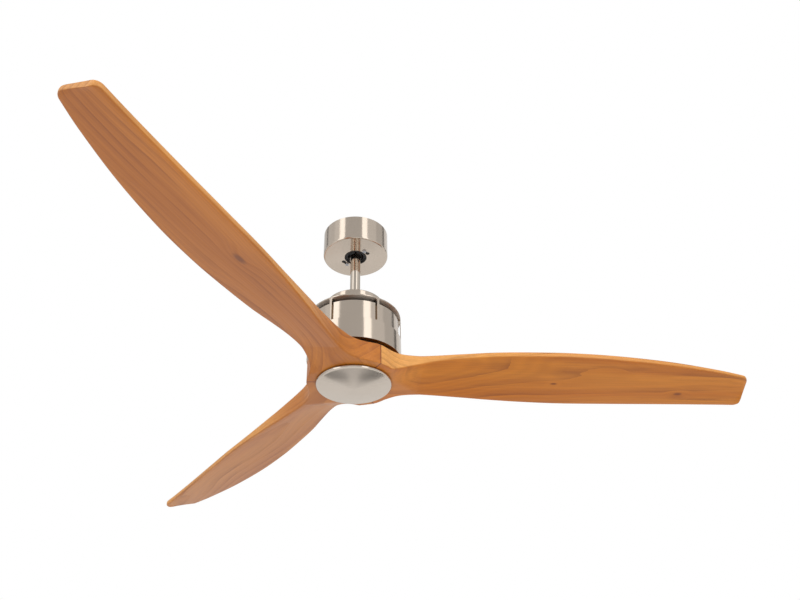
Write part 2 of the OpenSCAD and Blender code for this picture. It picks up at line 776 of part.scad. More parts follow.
module blade_gasket() {
    color(BLACK) difference() {
        ring(carrier_r, carrier_screw_circle + 5, hub_top + gasket_t, hub_top);
        around(blade_screw_angles, blade_screw_circle) disc(blade_screw_r + fit, hub_top + 3, hub_top - E);
    }
}

module blade(index) {
    color(TIMBER) rotate([0, 0, index * SECTOR]) difference() {
        loft([for (x = stations) section(x)]);
        disc(hub_bore_r, hub_top + E, hub_floor - E);
        disc(pocket_r, pocket_z, hub_floor - E);
        disc(carrier_screw_circle + 5, hub_top + E, hub_top - 4);
        around(blade_screw_turns, blade_screw_circle)
            disc(blade_screw_r + fit, hub_top + E, hub_floor - E);
    }
}

module blade_1() {
    blade(0);
}

module blade_2() {
    blade(1);
}

module blade_3() {
    blade(2);
}

module blade_clamp_plate() {
    color(ZINC) difference() {
        ring(pocket_r - 1, hub_bore_r, pocket_z, clamp_z);
        around(blade_screw_angles, blade_screw_circle) disc(blade_screw_r + fit, pocket_z + E, clamp_z - E);
        around(bracket_screw_turns, blade_screw_circle) disc(screw_r + fit, pocket_z + E, clamp_z - E);
    }
}

module blade_screws() {
    color(ZINC) around(blade_screw_angles, blade_screw_circle) translate([0, 0, clamp_z])
        screw(blade_screw_r, hub_top + gasket_t + carrier_t - clamp_z, true);
}

// Cap holder: a ring with a skirt whose lugs carry the cap
module cap_bracket() {
    color(ZINC) difference() {
        union() {
            ring(cap_skirt_r - cap_wall - ease, blade_screw_circle - 10, clamp_z, clamp_z - bracket_t);
            ring(cap_skirt_r - cap_wall - ease, cap_skirt_r - cap_wall - ease - 1.5, clamp_z - 1, hub_floor);
        }
        around(blade_screw_angles, blade_screw_circle)
            disc(1.8 * blade_screw_r + ease, clamp_z + E, clamp_z - bracket_t - E);
        around(bracket_screw_turns, blade_screw_circle)
            disc(screw_r + fit, clamp_z + E, clamp_z - bracket_t - E);
    }
}

module cap_bracket_screws() {
    color(ZINC) around(bracket_screw_turns, blade_screw_circle) translate([0, 0, clamp_z - bracket_t])
        screw(screw_r, bracket_t + clamp_t, true);
}

// Half outline of the cap: a shallow dome with a rolled rim
module cap_outline(inset) {
    r = cap_r - inset;
    depth = cap_dome + cap_rim - inset;
    dome_r = (cap_r * cap_r + cap_dome * cap_dome) / (2 * cap_dome) - inset;
    intersection() {
        translate([0, cap_rim_z - depth]) square([r, depth + (inset > 0 ? E : 0)]);
        translate([0, cap_rim_z - depth + dome_r]) circle(r = dome_r, $fn = 720);
    }
}

module cap() {
    color(NICKEL) {
        rotate_extrude() difference() {
            cap_outline(0);
            cap_outline(cap_wall);
            translate([-1, cap_rim_z - 99]) square([1, 200]);
        }
        ring(cap_skirt_r, cap_skirt_r - cap_wall, skirt_top, cap_rim_z - cap_rim - 2);
    }
}

ceiling_plate();
canopy();
canopy_grommet();
canopy_screws();
terminal_block();
hanger_ball();
ball_cross_pin();
ball_set_screw();
downrod();
rod_bush();
motor_lead();
rod_coupler();
coupler_pin();
coupler_pin_clip();
coupler_set_screws();
coupling_cover();
cover_grommet();
run_capacitor();
housing_top_plate();
top_plate_screws();
rim_screws();
motor_housing();
inner_sleeve();
motor_shaft();
shaft_circlip();
bearing_inner_races();
stator_core();
stator_windings();
bearing_outer_races();
bearing_balls();
rotor_top_shell();
rotor_bottom_shell();
rotor_core();
rotor_shell_screws();
blade_carrier();
carrier_screws();
blade_gasket();
blade_1();
blade_2();
blade_3();
blade_clamp_plate();
blade_screws();
cap_bracket();
cap_bracket_screws();
cap();
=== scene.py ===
"""Finer pieces, finishes, studio and camera for a three-blade timber ceiling fan."""

import json
import logging
from dataclasses import dataclass
from enum import Enum
from math import asin, atan2, cos, degrees, pi, radians, sin, sqrt, tan, tau
from typing import Any, Callable, Mapping, Optional, Sequence, Union

import bmesh
import bpy
from mathutils import Matrix, Vector


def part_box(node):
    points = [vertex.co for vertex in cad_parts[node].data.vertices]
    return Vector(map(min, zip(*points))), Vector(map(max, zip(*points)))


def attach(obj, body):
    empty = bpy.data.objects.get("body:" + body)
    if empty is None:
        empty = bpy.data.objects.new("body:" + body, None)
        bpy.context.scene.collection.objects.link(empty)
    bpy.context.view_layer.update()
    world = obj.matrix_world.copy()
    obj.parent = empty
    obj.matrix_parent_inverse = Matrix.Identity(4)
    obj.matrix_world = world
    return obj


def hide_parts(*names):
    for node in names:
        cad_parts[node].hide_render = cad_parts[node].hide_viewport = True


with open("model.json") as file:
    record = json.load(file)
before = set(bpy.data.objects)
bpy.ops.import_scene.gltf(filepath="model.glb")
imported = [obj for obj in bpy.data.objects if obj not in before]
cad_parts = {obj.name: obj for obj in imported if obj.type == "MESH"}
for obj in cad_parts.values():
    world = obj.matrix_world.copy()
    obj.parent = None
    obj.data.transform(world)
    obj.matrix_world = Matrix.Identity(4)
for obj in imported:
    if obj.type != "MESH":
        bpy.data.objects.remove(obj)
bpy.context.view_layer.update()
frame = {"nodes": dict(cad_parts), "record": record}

LOG = logging.getLogger("ceiling_fan")
MM = 0.001
SNAP = 2e-6  # how far in m a corner may lie from a circle and still count as on it
SHARP_EDGE = 50.0  # degrees
SECTOR = 120.0  # degrees between two blades
SEAM_LEAD = 58.0  # degrees from a blade's middle line to its leading seam
SEAM_TRAIL = 62.0
WALL = "wall"  # the blades' attribute that says how upright the surface is
# Painted highlight: share of a pale tone on the blades' upright edges, in place of the light they catch
PAINTED_EDGE_LIGHT = 0.46  # how far the blades' upright edges go toward the pale tone

Colour = tuple[float, float, float]
Point = tuple[float, float]
Mesh = bmesh.types.BMesh
Socket = bpy.types.NodeSocket


class Body(str, Enum):
    """The moving bodies of the fan."""

    CEILING = "ceiling_mount"
    STEM = "stem"
    ROTOR = "rotor"


class Lay(Enum):
    """The way in which the fine lines of a brushed metal run."""

    ROUND = "round the fan's axis"
    LOOSE = "no one way"


def srgb(red: int, green: int, blue: int) -> Colour:
    """Turns a paint-chart colour into a linear one.

    Args:
        red: Red level from 0 to 255.
        green: Green level from 0 to 255.
        blue: Blue level from 0 to 255.

    Returns:
        The colour that a shader takes.
    """
    shares = (level / 255.0 for level in (red, green, blue))
    return tuple(s / 12.92 if s <= 0.04045 else ((s + 0.055) / 1.055) ** 2.4 for s in shares)


def operator(operation: str, swapped: bool = False) -> Callable[..., "Value"]:
    """Makes a method that adds one Math node.

    Args:
        operation: The node's operation.
        swapped: Whether the other number comes first.

    Returns:
        The method, which takes the other numbers and gives the node's result.
    """
    return lambda value, *others: Value(value.sheet, value.sheet.node(
        "ShaderNodeMath", {"operation": operation},
        dict(enumerate((*others, value) if swapped else (value, *others)))).outputs[0])


class Value:
    """A number in a node tree, which arithmetic extends with Math nodes."""

    __add__ = operator("ADD")
    __sub__ = operator("SUBTRACT")
    __rsub__ = operator("SUBTRACT", swapped=True)
    __mul__ = operator("MULTIPLY")
    __truediv__ = operator("DIVIDE")
    __pow__ = operator("POWER")
    __abs__ = operator("ABSOLUTE")
    root = operator("SQRT")
    sine = operator("SINE")
    part = operator("FRACT")
    most = operator("MAXIMUM")

    def __init__(self, sheet: "NodeSheet", socket: Socket) -> None:
        """Wraps an output socket.

        Args:
            sheet: The sheet that further nodes go on.
            socket: The socket that carries the number.
        """
        self.sheet = sheet
        self.socket = socket

    def wave(self) -> "Value":
        """Turns a count of cycles into a wave from 0 to 1."""
        return (self * tau).sine() * 0.5 + 0.5

    def step(self, low: float, high: float) -> "Value":
        """Rises smoothly from 0 to 1.

        Args:
            low: Where it starts to rise.
            high: Where it reaches 1.

        Returns:
            The smooth step.
        """
        made = self.sheet.node("ShaderNodeMapRange", {"interpolation_type": "SMOOTHSTEP"},
                               {"Value": self, "From Min": low, "From Max": high})
        return Value(self.sheet, made.outputs["Result"])


Operand = Union[Value, float]


class NodeSheet:
    """The node tree of one material or world."""

    def __init__(self, tree: bpy.types.NodeTree) -> None:
        """Clears a tree and keeps it.

        Args:
            tree: The tree to draw on.
        """
        self.tree = tree
        tree.nodes.clear()

    def node(self, kind: str, settings: Mapping[str, Any] = {}, sockets: Mapping[Any, Any] = {}
             ) -> bpy.types.Node:
        """Adds a node.

        Args:
            kind: The node's type.
            settings: Its own settings, which are set first.
            sockets: A value or link for each input, by name or number.

        Returns:
            The new node.
        """
        made = self.tree.nodes.new(kind)
        for name, value in settings.items():
            setattr(made, name, value)
        for key, value in sockets.items():
            self.feed(made.inputs[key], value)
        return made

    def feed(self, socket: Socket, value: Any) -> None:
        """Links or sets an input.

        Args:
            socket: The input.
            value: A Value, an output socket, a number or a tuple.
        """
        if isinstance(value, (Value, Socket)):
            self.tree.links.new(value.socket if isinstance(value, Value) else value, socket)
        elif socket.type == "RGBA":
            socket.default_value = (*value, 1.0)
        else:
            socket.default_value = value

    def place(self, turn: float = 0.0) -> Socket:
        """Gives the point on the object, turned about the fan's axis.

        Args:
            turn: The angle in degrees.

        Returns:
            The point as a vector socket.
        """
        coords = self.node("ShaderNodeTexCoord").outputs["Object"]
        return self.node("ShaderNodeMapping", {"vector_type": "POINT"},
                         {"Vector": coords, "Rotation": (0.0, 0.0, radians(turn))}).outputs[0]

    def axes(self, vector: Socket) -> tuple[Value, Value, Value]:
        """Splits a vector into its three numbers."""
        made = self.node("ShaderNodeSeparateXYZ", {}, {0: vector})
        return tuple(Value(self, socket) for socket in made.outputs)

    def point(self, x: Operand, y: Operand, z: Operand) -> Socket:
        """Joins three numbers into a vector."""
        return self.node("ShaderNodeCombineXYZ", {}, {0: x, 1: y, 2: z}).outputs[0]

    def noise(self, at: Socket, scale: float = 1.0, detail: float = 2.0,
              roughness: float = 0.5) -> Value:
        """Adds a noise texture.

        Args:
            at: The point that it is read at.
            scale: Its scale.
            detail: Its octaves.
            roughness: How strong the finer octaves are.

        Returns:
            The noise, from 0 to 1.
        """
        made = self.node("ShaderNodeTexNoise", {}, {"Vector": at, "Scale": scale, "Detail": detail,
                                                    "Roughness": roughness})
        return Value(self, made.outputs["Fac"])

    def tint(self, share: Operand, first: Any, second: Any) -> Socket:
        """Mixes two colours.

        Args:
            share: The share of the second, from 0 to 1.
            first: The first colour, or a socket.
            second: The second colour, or a socket.

        Returns:
            The mixed colour.
        """
        made = self.node("ShaderNodeMix", {"data_type": "RGBA"}, {0: share, 6: first, 7: second})
        return made.outputs[2]

    def relief(self, height: Value, depth: float) -> Socket:
        """Turns a height into a bumped normal.

        Args:
            height: The height, from 0 to 1.
            depth: What a height of 1 stands for, in mm.

        Returns:
            The normal.
        """
        return self.node("ShaderNodeBump", {}, {"Height": height, "Distance": depth * MM}).outputs[0]


@dataclass(frozen=True)
class Finish:
    """A finish with a name and two close colours."""

    name: str
    colour: Colour
    shade: Colour

    def make(self) -> bpy.types.Material:
        """Makes the material once and gives it back after that.

        Returns:
            The material.
        """
        label = f"{self.name}_finish"
        ready = bpy.data.materials.get(label)
        if ready:
            return ready
        material = bpy.data.materials.new(label)
        material.use_nodes = True
        sheet = NodeSheet(material.node_tree)
        shader = sheet.node("ShaderNodeBsdfPrincipled", {}, self.paint(sheet))
        sheet.node("ShaderNodeOutputMaterial", {}, {"Surface": shader.outputs["BSDF"]})
        return material

    def paint(self, sheet: NodeSheet) -> dict[str, Any]:
        """Draws the finish.

        Args:
            sheet: The sheet to draw on.

        Returns:
            What goes into each input of the surface shader.
        """
        raise NotImplementedError


@dataclass(frozen=True)
class Brushed(Finish):
    """Bare metal with fine lines, which may be left raw and dull below some height in m."""

    lay: Lay = Lay.ROUND
    roughness: float = 0.2
    pull: float = 0.0
    raw_below: Optional[float] = None

    def paint(self, sheet: NodeSheet) -> dict[str, Any]:
        """Draws fine lines and a faint cloudiness.

        Args:
            sheet: The sheet to draw on.

        Returns:
            What goes into each input of the surface shader.
        """
        here = sheet.place()
        x, y, z = sheet.axes(here)
        if self.lay is Lay.ROUND:
            reach = (x * x + y * y).root().most(1e-4)
            thread = sheet.point(x / reach * 0.9, y / reach * 0.9, (reach + z) * 1100.0)
        else:
            thread = sheet.point(x * 420.0, y * 420.0, z * 420.0)
        lines = sheet.noise(thread, 1.0, 3.0, 0.6)
        cloud = sheet.noise(here, 22.0, 2.0)
        rough = lines * 0.04 + cloud * 0.02 + (self.roughness - 0.03)
        if self.raw_below is not None:
            rough = rough + (1.0 - z.step(self.raw_below, self.raw_below + 0.0003)) * 0.4
        return {"Base Color": sheet.tint(lines * 0.6 + cloud * 0.4, self.shade, self.colour),
                "Metallic": 1.0,
                "Roughness": rough,
                "Anisotropic": self.pull,
                "Anisotropic Rotation": 0.25,
                "Normal": sheet.relief(lines, 0.002)}


@dataclass(frozen=True)
class Grained(Finish):
    """Moulded, cast, painted or rubber surface with a fine grain."""

    grain: float = 900.0
    depth: float = 0.03
    roughness: float = 0.5
    metallic: float = 0.0

    def paint(self, sheet: NodeSheet) -> dict[str, Any]:
        """Draws a fine grain over slow patches of tone.

        Args:
            sheet: The sheet to draw on.

        Returns:
            What goes into each input of the surface shader.
        """
        here = sheet.place()
        grain = sheet.noise(here, self.grain, 3.0, 0.6)
        patch = sheet.noise(here, 35.0, 3.0)
        return {"Base Color": sheet.tint(patch * 0.7 + grain * 0.3, self.shade, self.colour),
                "Metallic": self.metallic,
                "Roughness": grain * 0.14 + patch * 0.1 + (self.roughness - 0.12),
                "Normal": sheet.relief(grain, self.depth)}


@dataclass(frozen=True)
class Zinc(Finish):
    """Plated sheet with the faint crystals of a zinc coat."""

    def paint(self, sheet: NodeSheet) -> dict[str, Any]:
        """Draws crystals of slightly different tone.

        Args:
            sheet: The sheet to draw on.

        Returns:
            What goes into each input of the surface shader.
        """
        here = sheet.place()
        cells = sheet.node("ShaderNodeTexVoronoi", {}, {"Vector": here, "Scale": 190.0})
        crystal = Value(sheet, cells.outputs["Distance"])
        dust = sheet.noise(here, 700.0, 2.0)
        return {"Base Color": sheet.tint(crystal * 0.7 + dust * 0.2, self.colour, self.shade),
                "Metallic": 1.0,
                "Roughness": crystal * 0.18 + dust * 0.1 + 0.22,
                "Normal": sheet.relief(crystal, 0.01)}


@dataclass(frozen=True)
class Stacked(Finish):
    """Thin layers stacked along the axis, as laminations or windings are."""

    pitch: float = 0.5
    metallic: float = 1.0

    def paint(self, sheet: NodeSheet) -> dict[str, Any]:
        """Draws the edge of each layer.

        Args:
            sheet: The sheet to draw on.

        Returns:
            What goes into each input of the surface shader.
        """
        here = sheet.place()
        x, y, z = sheet.axes(here)
        stray = sheet.noise(here, 60.0, 2.0)
        layer = (z * (1000.0 / self.pitch) + stray * 0.6).wave()
        return {"Base Color": sheet.tint(layer * 0.7 + stray * 0.3, self.shade, self.colour),
                "Metallic": self.metallic,
                "Roughness": stray * 0.15 + 0.28,
                "Normal": sheet.relief(layer, self.pitch * 0.2)}


# Painted highlight colour of the blades' upright edges, in place of the frontal light they catch
PAINTED_LIGHT_TIMBER = srgb(238, 178, 98)
KNOT_BROWN = srgb(92, 42, 24)
GLUE_LINE = srgb(104, 38, 18)


@dataclass(frozen=True)
class Knot:
    """A small knot in a board, in mm from the fan's axis and from the board's middle line."""

    along: float
    across: float
    size: float


@dataclass(frozen=True)
class Timber(Finish):
    """A varnished board with growth rings about a heart line that lies outside it.

    The heart line, its lean and the spacing of the rings set their run. The painted light root says how
    much painted highlight the upright edges carry near the hub. Farther out every board has the same
    painted highlight on its upright edges: a pale tone in place of the light they catch.
    """

    line: Colour = (0.2, 0.08, 0.03)
    turn: float = 0.0
    seed: float = 0.0
    heart_side: float = 0.0
    heart_up: float = -0.2
    lean_side: float = 0.0
    lean_up: float = 0.03
    spacing: float = 11.0
    painted_light_root: float = 0.05
    knots: tuple[Knot, ...] = ()

    def paint(self, sheet: NodeSheet) -> dict[str, Any]:
        """Draws rings, bands, fine streaks, knots, the glue line of the hub's seams and a painted highlight
        on upright edges.

        Args:
            sheet: The sheet to draw on.

        Returns:
            What goes into each input of the surface shader.
        """
        along, across, up = sheet.axes(sheet.place(-self.turn))
        start = along + self.seed

        def fibre(run: float, spread: float, detail: float, roughness: float = 0.5) -> Value:
            """Reads a noise that is drawn out along the board."""
            here = sheet.point(start * run, across * spread, up * spread)
            return sheet.noise(here, 1.0, detail, roughness)

        drift = fibre(2.4, 7.0, 1.0) - 0.5
        wobble = fibre(12.0, 55.0, 2.0) - 0.5
        side = across + along * self.lean_side - self.heart_side
        deep = up + along * self.lean_up - self.heart_up
        ring = (side * side + deep * deep).root() + drift * 0.045 + wobble * 0.003
        mark: Operand = 0.0
        for knot in self.knots:
            dx = (along - knot.along * MM) * 0.45
            dy = across - knot.across * MM
            reach = (dx * dx + dy * dy).root() / (knot.size * MM)
            ring = ring + (1.0 - reach.step(0.0, 4.0)) * (knot.size * 1.6 * MM)
            mark = (1.0 - reach.step(0.35, 1.3)) + mark
        count = ring / (self.spacing * MM)
        late = count.part() ** 3.0
        early = (count * 2.7 + drift * 5.0).wave()
        patchy = fibre(6.0, 30.0, 2.0).step(0.3, 0.7)
        band = fibre(1.6, 26.0, 2.0)
        streak = fibre(5.0, 420.0, 3.0, 0.65)
        pore = fibre(45.0, 1300.0, 1.0)
        body = sheet.tint(band.step(0.3, 0.7), self.colour, self.shade)
        wall = Value(sheet, sheet.node("ShaderNodeAttribute", {"attribute_name": WALL}).outputs["Fac"])
        # Painted highlight: upright faces are tinted toward a pale tone in place of the light that falls on
        # them, by a share that starts at the painted light root near the hub
        pale = along.step(0.14, 0.32) * (PAINTED_EDGE_LIGHT - self.painted_light_root) + self.painted_light_root
        body = sheet.tint(wall.step(0.25, 0.8) * pale, body, PAINTED_LIGHT_TIMBER)
        body = sheet.tint(early * 0.1 + streak.step(0.35, 0.8) * 0.22, body, self.line)
        body = sheet.tint(late * patchy * 0.6 + pore.step(0.68, 0.8) * 0.2, body, self.line)
        if self.knots:
            body = sheet.tint(mark * 0.62, body, KNOT_BROWN)
        body = sheet.tint(self._seams(along, across) * 0.9, body, GLUE_LINE)
        return {"Base Color": body,
                "Roughness": streak * 0.12 + late * 0.08 + 0.34,
                "Specular IOR Level": 0.35,
                "Coat Weight": 0.16 - wall * 0.12,
                "Coat Roughness": 0.22,
                "Normal": sheet.relief(streak * 0.5 + late * 0.3 + pore * 0.2, 0.05)}

    def _seams(self, along: Value, across: Value) -> Value:
        """Marks the two planes where the board is glued to its neighbours.

        Args:
            along: Distance along the board.
            across: Distance across it.

        Returns:
            1 on a seam and 0 away from it.
        """
        lead, trail = radians(SEAM_LEAD), radians(SEAM_TRAIL)
        first = abs(along * sin(lead) + across * cos(lead))
        second = abs(along * sin(trail) - across * cos(trail))
        near = (along * along + across * across).root()
        return ((1.0 - first.step(0.0004, 0.0015)).most(1.0 - second.step(0.0004, 0.0015))
                * (1.0 - near.step(0.09, 0.1)))


NICKEL = Brushed("brushed_nickel", srgb(209, 196, 182), srgb(195, 181, 166), Lay.ROUND, 0.16, 0.8)
LID_NICKEL = Brushed("lid_nickel", srgb(209, 196, 182), srgb(195, 181, 166), Lay.ROUND, 0.16, 0.8,
                     -0.2129)
SPUN_NICKEL = Brushed("spun_nickel", srgb(210, 199, 187), srgb(196, 184, 171), Lay.ROUND, 0.17, 0.85)
RUBBER = Grained("black_rubber", srgb(34, 33, 33), srgb(22, 21, 21), 1500.0, 0.03, 0.7)
ROD_NICKEL = Brushed("polished_nickel", srgb(212, 201, 188), srgb(200, 188, 174), Lay.ROUND, 0.08, 0.5)

BOARDS = (
    # The first board carries a strong painted highlight on its upright edges near the hub
    Timber("timber_first", srgb(210, 130, 34), srgb(194, 110, 20), srgb(124, 60, 16), 0.0, 3.1,
           -0.012, -0.205, 0.01, -0.045, 13.0, 0.62, (Knot(630.0, 30.0, 4.0), Knot(380.0, 6.0, 3.0))),
    Timber("timber_second", srgb(194, 124, 50), srgb(182, 110, 40), srgb(134, 70, 28), 120.0, 7.7,
           0.055, -0.24, -0.02, 0.012, 12.0),
    Timber("timber_third", srgb(194, 117, 32), srgb(176, 101, 22), srgb(124, 60, 22), 240.0, 12.4,
           -0.05, -0.24, 0.03, 0.01, 12.0, 0.0, (Knot(400.0, 18.0, 7.0),)),
)

SLOT_FINISH: dict[str, Finish] = {
    "brushed_nickel": NICKEL,
    "zinc_steel": Zinc("zinc_plate", srgb(200, 202, 206), srgb(166, 169, 175)),
    "plain_steel": Brushed("plain_steel", srgb(196, 196, 198), srgb(168, 168, 171), Lay.LOOSE, 0.3),
    "bearing_steel": Brushed("bearing_steel", srgb(215, 215, 218), srgb(202, 202, 206), Lay.ROUND, 0.12),
    "black_steel": Grained("black_painted_steel", srgb(38, 38, 39), srgb(26, 26, 27), 650.0, 0.03, 0.42),
    "cast_aluminium": Grained("cast_aluminium", srgb(186, 188, 190), srgb(150, 152, 155), 500.0, 0.08,
                              0.5, 1.0),
    "black_nylon": Grained("black_nylon", srgb(40, 39, 39), srgb(28, 27, 27), 1100.0, 0.02, 0.45),
    "black_rubber": RUBBER,
    "white_plastic": Grained("white_plastic", srgb(232, 231, 226), srgb(218, 216, 208), 900.0, 0.02, 0.48),
    "grey_plastic": Grained("grey_plastic", srgb(92, 96, 96), srgb(74, 78, 78), 900.0, 0.03, 0.5),
    "grey_cable": Grained("grey_cable_sheath", srgb(104, 104, 104), srgb(84, 84, 84), 1600.0, 0.03, 0.55),
    "lamination_steel": Stacked("varnished_laminations", srgb(120, 118, 118), srgb(66, 64, 64), 0.5),
    "copper_wire": Stacked("enamelled_copper", srgb(214, 140, 84), srgb(132, 68, 36), 0.7),
    "timber": BOARDS[0],
}


def spun(outline: Sequence[Point], steps: int = 192) -> Mesh:
    """Turns a closed outline about the fan's axis.

    Args:
        outline: Its corners as radius and height in mm. A corner on the axis closes the shape.
        steps: Number of faces round the axis.

    Returns:
        The solid ring or disc.
    """
    bm = bmesh.new()
    corners = [bm.verts.new((r * MM, 0.0, z * MM)) for r, z in outline]
    for a, b in zip(corners, corners[1:] + corners[:1]):
        if max(a.co.x, b.co.x) > 0.0:
            bm.edges.new((a, b))
    bmesh.ops.spin(bm, geom=list(bm.verts) + list(bm.edges), cent=(0, 0, 0), axis=(0, 0, 1),
                   dvec=(0, 0, 0), angle=tau, steps=steps, use_merge=True, use_duplicate=False)
    bmesh.ops.remove_doubles(bm, verts=list(bm.verts), dist=1e-6)
    bmesh.ops.recalc_face_normals(bm, faces=list(bm.faces))
    return bm


def ease(bm: Mesh, size: float, segments: int, picks: Callable[[Any], bool]) -> None:
    """Rounds edges.

    Args:
        bm: The mesh.
        size: Size of the rounding in mm.
        segments: Faces across the rounding.
        picks: Tells whether an edge is rounded.
    """
    edges = [edge for edge in bm.edges if picks(edge)]
    bmesh.ops.bevel(bm, geom=edges, offset=size * MM, offset_type="OFFSET", segments=segments,
                    profile=0.5, affect="EDGES", material=-1)


def ease_rings(bm: Mesh, *rings: tuple[float, int, float, float]) -> None:
    """Rounds whole circles about the axis.

    Args:
        bm: The mesh.
        *rings: For each, the rounding's size, the faces across it, and the circle's radius and height.
    """
    for size, segments, radius, height in rings:
        ease(bm, size, segments, lambda edge: all(
            abs(v.co.xy.length - radius * MM) < SNAP and abs(v.co.z - height * MM) < SNAP
            for v in edge.verts))


def is_sharp(edge: Any) -> bool:
    """Tells whether an edge turns sharply."""
    return len(edge.link_faces) == 2 and edge.calc_face_angle() > radians(SHARP_EDGE)


def add_peg(bm: Mesh, radius: float, top: float, floor: float, place: Point, segments: int = 32) -> Mesh:
    """Adds an upright round bar to a mesh, with sizes in mm.

    Args:
        bm: The mesh.
        radius: Its radius.
        top: Height of its top.
        floor: Height of its floor.
        place: Where its axis stands along X and Y.
        segments: Faces round it.

    Returns:
        The same mesh.
    """
    middle = Matrix.Translation((place[0] * MM, place[1] * MM, (top + floor) / 2 * MM))
    bmesh.ops.create_cone(bm, cap_ends=True, segments=segments, radius1=radius * MM,
                          radius2=radius * MM, depth=(top - floor) * MM, matrix=middle)
    return bm


def draw_up(bm: Mesh, edges: Sequence[Any], height: float) -> None:
    """Draws edges up into walls.

    Args:
        bm: The mesh.
        edges: The edges.
        height: Height of the walls' top in m.
    """
    for part in bmesh.ops.extrude_edge_only(bm, edges=list(edges))["geom"]:
        if isinstance(part, bmesh.types.BMVert):
            part.co.z = height


def circle_points(radius: float, angles: Sequence[float]) -> list[Point]:
    """Places points on a circle about the axis, at angles in degrees."""
    return [(radius * cos(radians(a)), radius * sin(radians(a))) for a in angles]


def add_object(name: str, bm: Mesh) -> bpy.types.Object:
    """Turns a mesh under work into an object at the origin.

    Args:
        name: The object's name.
        bm: The mesh, which is used up.

    Returns:
        The object, which is in the scene.
    """
    mesh = bpy.data.meshes.new(name)
    bm.to_mesh(mesh)
    bm.free()
    made = bpy.data.objects.new(name, mesh)
    bpy.context.scene.collection.objects.link(made)
    return made


def even_shading(made: bpy.types.Object) -> None:
    """Lets the large faces set the shading, so that a rounded edge does not bend a wall's gloss.

    Args:
        made: The object, whose mesh is replaced.
    """
    even = made.modifiers.new("even", "WEIGHTED_NORMAL")
    even.mode, even.keep_sharp, even.weight = "FACE_AREA", True, 90
    rough = made.data
    made.data = bpy.data.meshes.new_from_object(
        made.evaluated_get(bpy.context.evaluated_depsgraph_get()))
    made.modifiers.clear()
    bpy.data.meshes.remove(rough)
    made.data.name = made.name


def carve(body: Mesh, *cutters: Mesh) -> Mesh:
    """Cuts shapes out of a mesh.

    Args:
        body: The mesh, which is used up.
        *cutters: Closed meshes to cut away, which are used up.

    Returns:
        The carved mesh.
    """
    work = add_object("work", body)
    tools = [add_object("cutter", cutter) for cutter in cutters]
    for tool in tools:
        cut = work.modifiers.new("cut", "BOOLEAN")
        cut.operation, cut.solver, cut.object = "DIFFERENCE", "EXACT", tool
    carved = bpy.data.meshes.new_from_object(work.evaluated_get(bpy.context.evaluated_depsgraph_get()))
    result = bmesh.new()
    result.from_mesh(carved)
    bpy.data.meshes.remove(carved)
    for spent in (work, *tools):
        mesh = spent.data
        bpy.data.objects.remove(spent)
        bpy.data.meshes.remove(mesh)
    return result


def merge(bm: Mesh, *others: Mesh) -> Mesh:
    """Adds the faces of other meshes to one mesh.

    Args:
        bm: The mesh that is added to.
        *others: The other meshes, which are used up.

    Returns:
        The first mesh.
    """
    for other in others:
        carrier = bpy.data.meshes.new("carrier")
        other.to_mesh(carrier)
        other.free()
        bm.from_mesh(carrier)
        bpy.data.meshes.remove(carrier)
    return bm


@dataclass
class SubAssembly:
    """Pieces that ride on one body."""

    body: Body

    def piece(self, name: str, bm: Mesh, slot: str, finish: Finish, *nodes: str,
              sharp: float = SHARP_EDGE) -> None:
        """Finishes one piece and puts it on its body.

        Args:
            name: The piece's name.
            bm: Its mesh, which is used up.
            slot: The record's material slot; not used.
            finish: What it is dressed in.
            *nodes: The CAD nodes that it stands for.
            sharp: Edges that turn by more than this many degrees stay sharp.
        """
        made = add_object(name, bm)
        made.data.shade_smooth()
        made.data.set_sharp_from_angle(angle=radians(sharp))
        even_shading(made)
        made.data.materials.append(finish.make())
        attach(made, self.body.value)
        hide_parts(*nodes)
        LOG.info("%s: %d faces on %s", name, len(made.data.polygons), self.body.value)


def extent(node: str) -> tuple[float, float, float]:
    """Measures a round CAD node.

    Args:
        node: Its name.

    Returns:
        Its radius, top and floor in mm.
    """
    low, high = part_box(node)
    return high.x / MM, high.z / MM, low.z / MM


